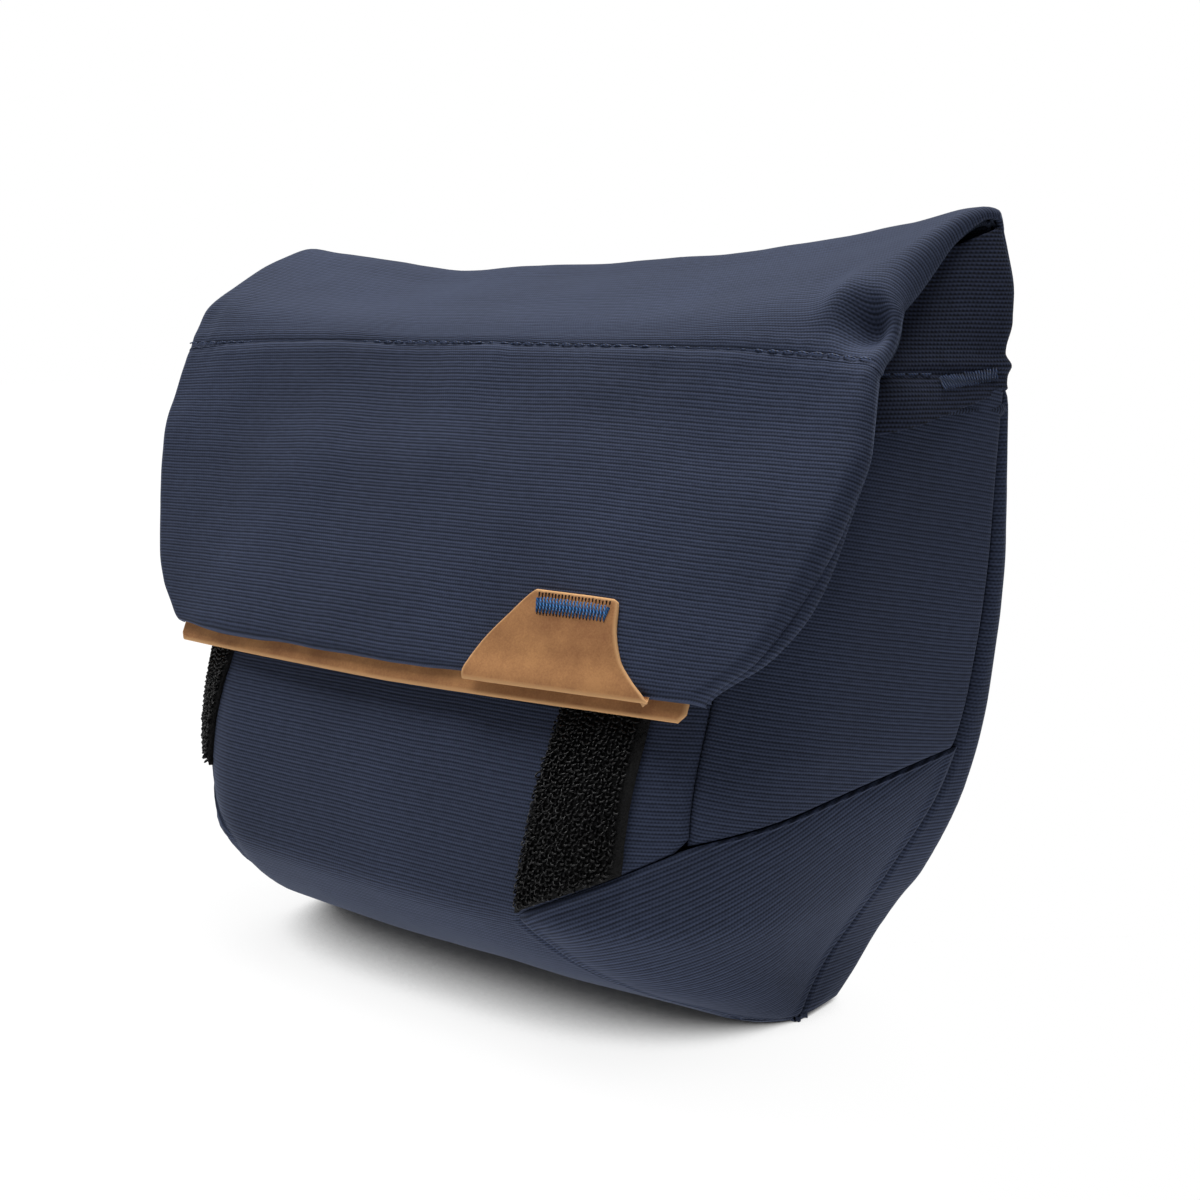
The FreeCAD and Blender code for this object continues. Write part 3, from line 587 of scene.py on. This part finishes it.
def flap_point(down, across):
    """A point of the flap's face; across runs from -1 to 1."""
    y_end, z_end, y_mid, z_mid, half = through(FLAP, down)
    right = across > 0
    x = across * half
    lean = through(LEAN, down)[0 if right else 1] * abs(across)
    x -= through(DRAWN, down)[0 if right else 1] * across ** 3
    if down > HEM:
        share = across * across
    else:
        share = sag(x, half)
        if down >= SHOULDER:
            share += (across * across - share) * (down - SHOULDER) / (HEM - SHOULDER)
    y, z = y_mid + (y_end - y_mid) * share, z_mid + (z_end - z_mid) * share
    if SHOULDER < down < HEM + 14:
        ends = math.exp(-((1 - abs(across)) * half / 13) ** 2) * math.exp(-((down - 55) / 7) ** 2)
        ends *= 1.0 if right else 0.2
        y, z = y + 3.2 * ends, z - 1.6 * ends
    dimple = math.exp(-(((1 - abs(across)) * half - 7) / 5) ** 2 - ((down - 51) / 6) ** 2)
    ridge = math.exp(-(((1 - abs(across)) * half - 15) / 5) ** 2 - ((down - 44) / 9) ** 2)
    deep = 1.5 if right else 0.15
    y, z = y + deep * (3.4 * dimple - 1.0 * ridge), z - deep * (3.0 * dimple - 1.2 * ridge)
    return Vector((x, y, z + lean))


def inward(down):
    """Which way is inside the flap at its ends, from the run of its edge there."""
    before, after = flap_point(down - 3.0, 1.0), flap_point(down + 3.0, 1.0)
    run = (after - before).normalized()
    return Vector((0, -run.z, run.y))


SEAM_PITCH = 4.2


def flap_place(first, last, ends, shoulder=5.0, foot=0.0, trim=0.0, deeper=0.0, pucker=0.0):
    """Places a ply of the flap between two distances down it, its edges rolled under by their radii."""
    def place(u, v):
        down = first + (last - first) * spread(v)
        across = 2 * spread(u) - 1
        half = through(FLAP, down)[4]
        narrower = trim(down) if callable(trim) else trim
        p = flap_point(down, across * (half - narrower) / half)
        radius = ends + shoulder * math.exp(-((down - SHOULDER) / 18) ** 2)
        turn = rolled((half - narrower) * (1 - abs(across)), radius) + deeper
        if foot:
            turn += rolled(last - down, foot)
        if pucker:
            gather = 0.7 + 0.3 * math.sin(p.x * 2 * math.pi / SEAM_PITCH)
            turn += pucker * math.exp(-((down - HEM) / 0.9) ** 2) * gather
            turn -= pucker * 0.5 * math.exp(-((abs(down - HEM) - 3.5) / 1.8) ** 2) * (0.6 + 0.4 * math.sin(p.x * 1.1))
        p += inward(down) * turn
        return p, (p.x + math.copysign(turn, p.x), down), 30.0
    return place


roof = cloth("flap_top.cover", 130, 84, flap_place(-16.0, HEM + 1.0, 3.5, pucker=0.5), crown=0, dive=0,
             wrinkle=1.1, thick=1.3, outward=(0, -20, 130))
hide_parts("flap_top_panel")
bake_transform(roof)
apron = cloth("flap_front.cover", 130, 90, flap_place(HEM + 0.6, FLAP_END, 3.5, foot=2.5, pucker=0.5), crown=0, dive=0,
              wrinkle=1.4, thick=1.3, outward=(0, -20, 120))
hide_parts("flap_front_panel", "flap_foam")
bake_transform(apron)

# The flap's facing: a second ply of the canvas whose rolled edge shows past the slanted ends.
facing = cloth("flap_lining.cover", 110, 60, flap_place(
    HEM + 2.0, FLAP_END - 1.0, 2.0, foot=1.5, deeper=3.4,
    trim=lambda down: 1.2 - 3.4 * math.exp(-((down - 122) / 20) ** 2)), crown=0, dive=0, wrinkle=1.0, thick=0.8,
    outward=(0, -20, 120))
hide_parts("flap_lining")
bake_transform(facing)
under_roof = cloth("flap_top_lining.cover", 90, 50, flap_place(-9.0, HEM + 2.5, 2.0, trim=2.5, deeper=3.0), crown=0,
                   dive=0, wrinkle=0.8, thick=0.7, outward=(0, -20, 130), finish=LINING)
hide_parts("flap_top_lining")
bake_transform(under_roof)

# Stitches along the cross seam: navy thread, pulled a little into the cloth.


def thread_run(name, runs, radius, finish, resolution=2):
    """Sewing thread: one open line for each run of points, in millimetres, y 0 at the back."""
    data = bpy.data.curves.new(name, "CURVE")
    data.dimensions, data.bevel_depth, data.bevel_resolution = "3D", radius * MM, resolution
    data.use_fill_caps = True
    for run in runs:
        spline = data.splines.new("POLY")
        spline.points.add(len(run) - 1)
        for place, p in zip(spline.points, run):
            place.co = (p[0] * MM, BACK + p[1] * MM, p[2] * MM, 1.0)
    data.materials.append(finish)
    return placed(name, data)


def twisted(name, low, high, spacing, sheen=0.2):
    """Plied thread: a fine diagonal twist in Object coordinates; the twist also sets the colour, painted shade in its
    grooves.
    """
    made, tree, shader = material(name, Roughness=0.6, Sheen_Weight=sheen)
    place = add(tree, "TexCoord").outputs["Object"]
    twist = add(tree, "TexWave", {"Vector": place, "Scale": 1000 / spacing / 3.2, "Distortion": 1.5},
                bands_direction="DIAGONAL").outputs["Fac"]
    ramp = add(tree, "ValToRGB", {"Fac": twist})
    ramp.color_ramp.elements[0].color, ramp.color_ramp.elements[1].color = linear(low), linear(high)
    tree.links.new(ramp.outputs[0], shader.inputs["Base Color"])
    bump = add(tree, "Bump", {"Height": twist, "Strength": 0.5, "Distance": 0.08 * MM})
    tree.links.new(bump.outputs[0], shader.inputs["Normal"])
    return made


NAVY_THREAD = twisted("navy_polyester_thread", "#0a1428", "#26406c", 0.5, sheen=0.08)
runs = []
for k in range(56):
    x = -117 + SEAM_PITCH * k
    ends = [flap_point(HEM - 0.3, t / 119.6) for t in (x, x + 1.6, x + 3.2)]
    bow = (-0.35, 0.06, -0.35)
    runs.append([p - inward(HEM) * b for p, b in zip(ends, bow)])
seam = thread_run("flap_seam_stitching.thread", runs, 0.2, NAVY_THREAD)
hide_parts("flap_seam_stitching")
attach(seam, "flap_top")

# ---------------------------------------------------------------- suede edge and pull tab
# Split cowhide, sueded: a strip that stiffens the flap's lower edge, and a tab folded up over it from
# below.  Cut edges are paler, handled places darker and smoother, and the nap runs in patches.


def suede(name, base, dark, pale):
    made, tree, shader = material(name, Roughness=0.86, Sheen_Weight=0.25, Sheen_Roughness=0.5,
                                  Sheen_Tint=linear("#e6c39a"), Specular_IOR_Level=0.25)
    place = add(tree, "TexCoord").outputs["Object"]
    nap = add(tree, "TexNoise", {"Vector": place, "Scale": 1900.0, "Detail": 3.0}).outputs["Fac"]
    patch = add(tree, "TexNoise", {"Vector": place, "Scale": 75.0, "Detail": 5.0,
                                   "Roughness": 0.65}).outputs["Fac"]
    edge = add(tree, "Attribute", attribute_name="edge").outputs["Fac"]
    grain = add(tree, "Math", {0: nap, 1: 0.35, 2: patch}, operation="MULTIPLY_ADD")
    ramp = add(tree, "ValToRGB", {"Fac": grain})
    ramp.color_ramp.elements[0].position, ramp.color_ramp.elements[1].position = 0.48, 0.86
    ramp.color_ramp.elements[0].color, ramp.color_ramp.elements[1].color = linear(dark), linear(base)
    rim = add(tree, "MapRange", {"Value": edge, "From Min": 0.35, "From Max": 1.1,
                                 "To Min": 1.0, "To Max": 0.0})
    tone = add(tree, "Mix", {0: rim}, data_type="RGBA")
    tree.links.new(ramp.outputs[0], tone.inputs[6])
    tone.inputs[7].default_value = linear(pale)
    tree.links.new(tone.outputs[2], shader.inputs["Base Color"])
    bump = add(tree, "Bump", {"Height": grain, "Strength": 0.8, "Distance": 0.2 * MM})
    tree.links.new(bump.outputs[0], shader.inputs["Normal"])
    return made


SUEDE = suede("brushed_suede", "#bb8757", "#936340", "#cb9c6c")
STRIP_HALF, STRIP_LOW, STRIP_TALL = 88.6, FLAP_END + 4.6, 17.0


def strip_place(half, low, tall, deeper, edge_radius):
    def place(u, v):
        down = low - tall * (1 - spread(v))
        across = 2 * spread(u) - 1
        near = min(half * (1 - abs(across)), low - down, down - low + tall)
        corner = max(0.0, 2.0 - (low - down)) * 0.8
        x = across * (half - corner) * (1.026 if across < 0 else 1.0)
        p = flap_point(down, x / 92.0)
        p.x = x
        p += inward(140.0) * (deeper + rolled(near, edge_radius))
        return p, (x, down), near
    return place


strip = cloth("suede_edge_strip.cover", 130, 24, strip_place(STRIP_HALF, STRIP_LOW, STRIP_TALL, 4.0, 1.0), crown=0,
              dive=0, wrinkle=0.3, thick=1.2, outward=(0, -20, 120), finish=SUEDE)
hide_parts("suede_edge_strip")
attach(strip, "flap_front")

# Share of the way down the tab, then the x of its left edge and of its right.
TAB = [(0.0, 44.6, 66.8), (0.04, 43.2, 68.2), (0.3, 37.4, 69.2), (0.6, 31.0, 71.8), (0.8, 28.2, 76.0),
       (0.92, 27.2, 79.2), (1.0, 27.6, 80.9)]
TAB_TOP, TAB_LOW, TAB_OUT = 124.0, 146.4, 2.1


def tab_place(u, v):
    t = spread(v)
    down = TAB_TOP + (TAB_LOW - TAB_TOP) * t
    left, right = through(TAB, t)
    x = left + (right - left) * spread(u)
    near = min(x - left, right - x, down - TAB_TOP, TAB_LOW - down)
    p = flap_point(down, x / through(FLAP, down)[4])
    p.x = x
    p -= inward(down) * (TAB_OUT - rolled(near, 0.7) - 1.2 * max(0.0, (t - 0.8) / 0.2) ** 2 * 0.6)
    return p, (x, down), near


tab = cloth("suede_pull_tab.cover", 70, 50, tab_place, crown=0, dive=0, wrinkle=0.35, thick=1.7, outward=(0, -20, 120),
            finish=SUEDE)
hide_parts("suede_pull_tab")
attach(tab, "flap_front")

BLUE_THREAD = twisted("blue_embroidery_thread", "#022a50", "#0668aa", 0.5, sheen=0.0)
zigzag, holes_bm = [], bmesh.new()
LEGS = 42
for k in range(LEGS + 1):
    x = 45.8 + 20.4 * k / LEGS
    high = k % 2 == 0
    down = (126.2 if high else 129.2) + 0.25 * noise.noise(Vector((k * 1.7, 0, 0)))
    p = flap_point(down, x / through(FLAP, down)[4])
    p.x = x
    zigzag.append(p - inward(down) * (TAB_OUT + 0.25))
    hole = bmesh.ops.create_cube(holes_bm, size=1.0)["verts"]
    bmesh.ops.scale(holes_bm, verts=hole, vec=(0.36 * MM, 0.5 * MM, (1.5 if high else 0.8) * MM))
    at = flap_point(down + (-0.75 if high else 0.35), x / through(FLAP, down)[4]) - inward(down) * (TAB_OUT - 0.1)
    bmesh.ops.translate(holes_bm, verts=hole, vec=(x * MM, BACK + at.y * MM, at.z * MM))
bmesh.ops.bevel(holes_bm, geom=holes_bm.edges[:], offset=0.1 * MM, segments=1, profile=0.5, affect="EDGES", material=-1)
holes_mesh = bpy.data.meshes.new("tab_needle_holes")
holes_bm.to_mesh(holes_mesh)
holes_bm.free()
holes = placed("tab_needle_holes", holes_mesh)
# The dark brown boxes sunk into the tab at both ends of each leg stand for the needle holes: painted shade inside them.
shadow, _, _ = material("needle_hole_painted_shade", Base_Color=linear("#2a1a10"), Roughness=1.0)
holes_mesh.materials.append(shadow)
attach(holes, "flap_front")
zigzag_piece = thread_run("tab_stitching.thread", [zigzag], 0.44, BLUE_THREAD)
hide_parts("tab_stitching")
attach(zigzag_piece, "flap_front")

# ---------------------------------------------------------------- hook and loop tape
# Black nylon tape: brushed loops stand off the two strips on the tub; the flap carries the hooks.


def brushed(name, low, high, size, rough):
    made, tree, shader = material(name, Roughness=rough, Specular_IOR_Level=0.3)
    place = add(tree, "TexCoord").outputs["Object"]
    curls = add(tree, "TexVoronoi", {"Vector": place, "Scale": 1000 / size,
                                     "Randomness": 1.0}).outputs["Distance"]
    fuzz = add(tree, "TexNoise", {"Vector": place, "Scale": 2600 / size, "Detail": 4.0,
                                  "Distortion": 1.2}).outputs["Fac"]
    mixed = add(tree, "Math", {0: curls, 1: -0.9, 2: fuzz}, operation="MULTIPLY_ADD")
    level = add(tree, "MapRange", {"Value": mixed, "From Min": -0.25, "From Max": 0.6})
    # The colour follows the bump's height: painted shade in the hollows of the tape and painted light on the crowns of
    # its curls.
    ramp = add(tree, "ValToRGB", {"Fac": level})
    ramp.color_ramp.elements[0].color, ramp.color_ramp.elements[1].color = linear(low), linear(high)
    ramp.color_ramp.elements[0].position = 0.35
    tree.links.new(ramp.outputs[0], shader.inputs["Base Color"])
    bump = add(tree, "Bump", {"Height": level, "Strength": 1.0, "Distance": 0.7 * MM})
    tree.links.new(bump.outputs[0], shader.inputs["Normal"])
    return made


LOOP = brushed("brushed_loop_tape", "#010102", "#0c0c0f", 1.2, 0.8)
CURL, _, _ = material("nylon_loop_filament", Base_Color=linear("#050507"), Roughness=0.35, Specular_IOR_Level=0.28)

STRIP_TOP, TAPE, TAPE_LEFT = 138.0, 26.5, 31.0      # the left strip lies that much further round
slant_start, slant_end = slant_seam(A_Z), side_seam(M_Z)


def strip_foot(s):
    """Height of the cut lower end of a loop strip, which follows the corner panel's slanted seam."""
    return A_Z + (M_Z - A_Z) * (s - slant_start) / (slant_end - slant_start)


def strip_lean(side, share):
    """How far round the case a loop strip moves for each millimetre up, at a share of its width."""
    return 0.105 - 0.055 * share if side > 0 else -0.15


for word, side in (("right", 1), ("left", -1)):
    start = slant_start + 0.4 + (0.0 if side > 0 else TAPE_LEFT)

    def loop_place(u, v):
        s = start + TAPE * spread(u)
        low = strip_foot(s) + 0.9
        z = low + (STRIP_TOP - low) * spread(v)
        s += (z - A_Z) * strip_lean(side, u)
        x, y = on_ring(z, side * s)
        near = min(TAPE * spread(u), TAPE * (1 - spread(u)), z - low)
        return (x, y, z), (side * s, z), near

    loop = cloth(f"loop_strip_{word}.cover", 40, 90, loop_place, crown=0, dive=0.5, wrinkle=0.5, thick=1.4, lift=2.6,
                 rough=0.22, finish=LOOP)
    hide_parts(f"loop_strip_{word}")
    runs, pitch = [], 1.2
    for row in range(int(103 / pitch)):
        for k in range(int(24.6 / pitch)):
            seat = Vector((k + 0.5, row, 0))
            across = (k + 0.5 + 0.5 * noise.noise(seat * 0.9)) * pitch
            up = STRIP_TOP - (row + 0.5 + 0.35 * math.sin(k * 0.9 + 0.35 * row)) * pitch
            s = start + across
            if up < strip_foot(s) + 1.6:
                continue
            s += (up - A_Z) * strip_lean(side, across / TAPE)
            foot, beside, above = (Vector((*on_ring(z, side * at), z)) for at, z in (
                (s, up), (s + 1.0, up), (s, up + 1.0)))
            level, rise = (beside - foot).normalized(), (above - foot).normalized()
            off = level.cross(rise).normalized() * side
            turn = 0.75 + 1.6 * noise.noise(seat * 1.7) + (0.75 if (row + k) % 2 else -0.75)
            along = level * math.cos(turn) + rise * math.sin(turn)
            wide, tall = 0.6 + 0.3 * noise.noise(seat * 2.3), 0.8 + 0.5 * noise.noise(seat * 3.1)
            droop = rise * -0.6 + level * 0.5 * noise.noise(seat * 1.3)
            arc = (math.pi * step / 6 for step in range(7))
            runs.append([foot + off * (2.5 + tall * math.sin(a)) + along * (wide * math.cos(a))
                         + droop * math.sin(a) for a in arc])
    curls = thread_run(f"loop_strip_{word}.curls", runs, 0.26, CURL, resolution=0)
    for piece in (loop, curls):
        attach(piece, "pouch")
HOOK = brushed("hook_tape", "#060607", "#34343a", 0.7, 0.5)
hooks = cloth("hook_strip.cover", 120, 16, strip_place(STRIP_HALF - 4.5, STRIP_LOW - 2.0, 14.0, 5.6, 0.4), crown=0,
              dive=0, wrinkle=0.2, thick=1.2, rough=0.12, outward=(0, -20, 120), finish=HOOK)
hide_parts("hook_strip")
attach(hooks, "flap_front")

# ---------------------------------------------------------------- side collars
# Coarser plain-woven cloth closes each end between the back and the roof.  Its lower edge is turned up,
# stitched level and tacked at the back, and it hangs free over the side panel.
# Its colours are darker than the canvas's: partly the coarser cloth's own colour, partly painted shade of the hollow
# under the roof.
COLLAR = woven("coarse_collar_cloth_painted_shade", "#080b12", "#343c54", across=0.95, along=0.9, bead=0.65, depth=0.3)
COLLAR_DEEP = 47.0


def collar_point(side, back_by, w):
    """A point of a collar that far forward of the back wall; w goes from its hem at 0 to its top at 1."""
    s = back_seam(MOUTH) + 3.0 - back_by
    x, y = on_ring(MOUTH, s)
    low = 155.6 - 0.26 * abs(y)
    top = 195.0 - 0.10 * abs(y) - 0.0077 * y * y - 2.0 - 3.0 * min(1.0, abs(y) / 12)
    z = low + (top - low) * w
    edge = through(BACK_EDGE, z)[0] - BACK_EDGE[0][1]
    hold = math.exp(-abs(y) / 9)
    rise = min(1.0, max(0.0, (z - 152.0) / (top - 152.0)))
    x += 1.4 + 1.2 * min(1.0, max(0.0, (152.0 - z) / 5)) + edge * hold
    x -= (17.0 * rise ** 1.5 + 2.0 * math.sin(math.pi * rise)) * (1 - hold) * (0.4 + 0.6 * min(1, abs(y) / 30))
    x -= 1.2 * math.exp(-((z - 158) / 1.6) ** 2) * (1 - hold * 0.5)
    return Vector((side * x, y, z))


for word, side in (("right", 1), ("left", -1)):
    def collar_place(u, v):
        by = COLLAR_DEEP * u
        p = collar_point(side, by, v)
        near = min(0.7 + (p.z - collar_point(side, by, 0).z), 30.0)
        return p, (side * by, p.z), near

    collar = cloth(f"side_collar_{word}.cover", 70, 60, collar_place, crown=0.4, dive=0.5, wrinkle=1.3, thick=1.1,
                   outward=(0, -20, 165), finish=COLLAR)
    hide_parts(f"side_collar_{word}")
    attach(collar, "pouch")
    tack = []
    for k in range(45):
        by = 6.5 + 17.5 * k / 44
        p = collar_point(side, by, 0.0)
        low, high = p.z, collar_point(side, by, 1.0).z
        p.z = 158.6 - 0.11 * by + (1.25 if k % 2 else -1.25) + 0.5 * noise.noise(Vector((k * 0.9, side, 0)))
        q = collar_point(side, by, (p.z - low) / (high - low))
        tack.append(Vector((q.x + side * 0.5, p.y, p.z)))
    runs = [tack]
    for k in range(6):
        by = 25.0 + 3.6 * k
        dash = []
        for step, stand in ((0, -0.2), (1.3, 0.5), (2.6, -0.2)):
            p = collar_point(side, by + step, 0.0)
            q = collar_point(side, by + step, (158.0 - p.z) / (collar_point(side, by + step, 1.0).z - p.z))
            dash.append(Vector((q.x + side * (stand + 0.3), q.y, 158.0)))
        runs.append(dash)
    tack_piece = thread_run(f"bartack_{word}.thread", runs, 0.25, NAVY_THREAD)
    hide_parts(f"bartack_{word}")
    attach(tack_piece, "pouch")

# ---------------------------------------------------------------- belt loops
# Flat 25 mm webbing sewn to the back at both ends, standing off it in between for a belt.
WEBBING = woven("nylon_webbing", "#0c101a", "#323a50", across=1.6, along=1.1, bead=0.7, depth=0.3)
loop_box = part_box("belt_loop_right")
LOOP_LOW, LOOP_HIGH = loop_box[0].z / MM, loop_box[1].z / MM
LOOP_X = (loop_box[0].x + loop_box[1].x) / 2 / MM
LOOP_OUT = (loop_box[1].y - BACK) / MM
WEB_HALF, LOOP_RUN = 12.5, 72.0
LOOP_PATH = [(0.0, LOOP_LOW, 1.8), (12.0, LOOP_LOW + 12, 1.8), (20.0, LOOP_LOW + 19, LOOP_OUT - 0.3),
             (36.0, (LOOP_LOW + LOOP_HIGH) / 2, LOOP_OUT), (52.0, LOOP_HIGH - 19, LOOP_OUT - 0.3),
             (60.0, LOOP_HIGH - 12, 1.8), (LOOP_RUN, LOOP_HIGH, 1.8)]
for word, side in (("right", 1), ("left", -1)):
    def loop_belt_place(u, v):
        z, y = through(LOOP_PATH, LOOP_RUN * v)
        x = side * LOOP_X + WEB_HALF * (2 * spread(u) - 1)
        return (x, y - rolled(WEB_HALF - abs(x - side * LOOP_X), 0.6), z), (x, LOOP_RUN * v), 30.0

    belt_loop = cloth(f"belt_loop_{word}.cover", 14, 60, loop_belt_place, crown=0, dive=0, wrinkle=0.15, thick=1.5,
                      outward=(0, -60, 95), finish=WEBBING)
    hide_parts(f"belt_loop_{word}")
    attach(belt_loop, "pouch")
    runs = []
    for z in (LOOP_LOW + 2.5, LOOP_LOW + 9.5, LOOP_HIGH - 9.5, LOOP_HIGH - 2.5):
        for k in range(7):
            x = side * LOOP_X - 10.6 + 3.1 * k
            runs.append([(x, 1.85, z), (x + 1.2, 2.1, z), (x + 2.4, 1.85, z)])
    box_stitches = thread_run(f"belt_loop_{word}.thread", runs, 0.3, NAVY_THREAD)
    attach(box_stitches, "pouch")

# ---------------------------------------------------------------- the zip
# A 3 mm coil zip: a moulded nylon helix on woven tape, a die-cast slider and a stamped pull.
coil_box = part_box("zip_coil")
COIL_TURN, COIL_STEPS = 1.5, 8
coil_run = []
coil_y, coil_z = ((coil_box[0].y + coil_box[1].y) / 2 - BACK) / MM, (coil_box[0].z + coil_box[1].z) / 2 / MM
for k in range(int((coil_box[1].x - coil_box[0].x) / MM / COIL_TURN * COIL_STEPS)):
    angle = 2 * math.pi * k / COIL_STEPS
    coil_run.append((coil_box[0].x / MM + COIL_TURN * k / COIL_STEPS, coil_y + 0.45 * math.cos(angle),
                     coil_z + 1.25 * math.sin(angle)))
NYLON, _, _ = material("moulded_nylon_coil", Base_Color=linear("#1b1d22"), Roughness=0.38, IOR=1.53)
coil = thread_run("zip_coil.teeth", [coil_run], 0.3, NYLON, resolution=1)
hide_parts("zip_coil")
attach(coil, "pouch")


def plated(name, colour):
    """Plated zinc, tumbled before plating: fine soft scratches, brighter than the cloth round it."""
    made, tree, shader = material(name, Metallic=1.0, Roughness=0.36)
    place = add(tree, "TexCoord").outputs["Object"]
    scuffs = add(tree, "TexNoise", {"Vector": place, "Scale": 900.0, "Detail": 5.0}).outputs["Fac"]
    rough = add(tree, "MapRange", {"Value": scuffs, "To Min": 0.26, "To Max": 0.5}).outputs[0]
    ramp = add(tree, "ValToRGB", {"Fac": scuffs})
    ramp.color_ramp.elements[0].color, ramp.color_ramp.elements[1].color = linear("#7d8086"), linear(colour)
    tree.links.new(ramp.outputs[0], shader.inputs["Base Color"])
    tree.links.new(rough, shader.inputs["Roughness"])
    return made


METAL = plated("plated_zinc", "#b4b7bc")
TAPE = brushed("woven_zip_tape", "#0c0d11", "#2c2f38", 0.6, 0.85)
for node_name, finish in (("zip_tape", TAPE), ("zip_slider", METAL), ("zip_pull", METAL)):
    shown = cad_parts[node_name]
    shown.data.materials.clear()
    shown.data.materials.append(finish)

# ---------------------------------------------------------------- studio
# A pale floor that glows, most near the case, and so lights it from below; a broad soft lamp almost
# overhead; and a sky dimmer on the right, as dark cloth there would make it by taking the light that the sky
# would send to that side. To the camera the floor is white emission with a painted contact shadow.
SKY_LEFT, SKY_RIGHT, KEY_FROM = 0.14, 0.02, (-0.14, 0.1, 1.0)
floor_bm = bmesh.new()
bmesh.ops.create_grid(floor_bm, x_segments=1, y_segments=1, size=6)
floor_mesh = bpy.data.meshes.new("floor")
floor_bm.to_mesh(floor_mesh)
floor_bm.free()
floor = placed("floor", floor_mesh)
paper, tree, shader = material("pale_paper", Roughness=0.9)
spot = add(tree, "TexCoord").outputs["Object"]
far = add(tree, "VectorMath", {0: spot}, operation="LENGTH").outputs["Value"]
below = add(tree, "MapRange", {"Value": far, "From Min": 0.1, "From Max": 0.55,
                               "To Min": 1.5, "To Max": 0.05})
# To the right of the case the camera sees only the white emission and none of the real shadow: painted light.
aside = add(tree, "VectorMath", {0: spot, 1: (0.763, 0.646, 0.0)}, operation="DOT_PRODUCT").outputs["Value"]
lit = add(tree, "MapRange", {"Value": aside, "From Min": 0.02, "From Max": 0.1,
                             "To Min": 0.9, "To Max": 1.0})
seen = add(tree, "LightPath").outputs["Is Camera Ray"]
tone = add(tree, "Mix", {0: seen, 2: 0.7, 3: 0.97}).outputs[0]
tree.links.new(tone, shader.inputs["Base Color"])
# Painted contact shadow: to the camera the floor's emission is darkened near the case by ambient occlusion.
near = add(tree, "AmbientOcclusion", {"Distance": 0.045}, samples=24).outputs["AO"]
painted_contact_shadow = add(tree, "MapRange", {"Value": near, "From Min": 0.08, "From Max": 0.38,
                                 "To Min": 0.01, "To Max": 1.0})
strength = add(tree, "Mix", {0: seen, 2: below, 3: painted_contact_shadow})
share = add(tree, "Mix", {0: seen, 2: 0.5, 3: lit})
glow = add(tree, "Emission", {"Color": (1, 1, 1, 1), "Strength": strength})
both = add(tree, "MixShader", {0: share, 1: shader, 2: glow}).outputs[0]
tree.links.new(both, tree.nodes["Material Output"].inputs["Surface"])
floor_mesh.materials.append(paper)
sky = bpy.data.worlds.new("studio")
bpy.context.scene.world = sky
sky.use_nodes = True
tree = sky.node_tree
dim = tree.nodes["Background"]
dim.inputs["Color"].default_value = (1, 1, 1, 1)
way = add(tree, "SeparateXYZ", {0: add(tree, "TexCoord").outputs["Generated"]}).outputs["X"]
fade = add(tree, "MapRange", {"Value": way, "From Min": -0.6, "From Max": 0.5,
                              "To Min": SKY_LEFT, "To Max": SKY_RIGHT}).outputs[0]
tree.links.new(fade, dim.inputs["Strength"])
bright = add(tree, "Background", {"Color": (1, 1, 1, 1), "Strength": 1.0})
seen = add(tree, "LightPath").outputs["Is Camera Ray"]
both = add(tree, "MixShader", {0: seen, 1: dim, 2: bright}).outputs[0]
tree.links.new(both, tree.nodes["World Output"].inputs["Surface"])
sun = bpy.data.lights.new("key", "SUN")
sun.energy, sun.angle = 5.3, math.radians(56)
key = placed("key", sun)
key.rotation_euler = Vector(KEY_FROM).to_track_quat("Z", "Y").to_euler()

# The camera stands to the front right, a little above the top fold, and looks slightly down.
CAMERA_TURN, CAMERA_DIP = math.radians(40.27), math.radians(8.15)
view = bpy.data.cameras.new("camera")
view.lens, view.sensor_width = 54, 36
camera = placed("camera", view)
camera.location = (0.32375, BACK - 0.38835, 0.16515)
forward = Vector((-math.sin(CAMERA_TURN) * math.cos(CAMERA_DIP), math.cos(CAMERA_TURN) * math.cos(CAMERA_DIP),
                  -math.sin(CAMERA_DIP)))
camera.rotation_euler = forward.to_track_quat("-Z", "Y").to_euler()
bpy.context.scene.camera = camera

bpy.context.scene.view_settings.view_transform = "Standard"
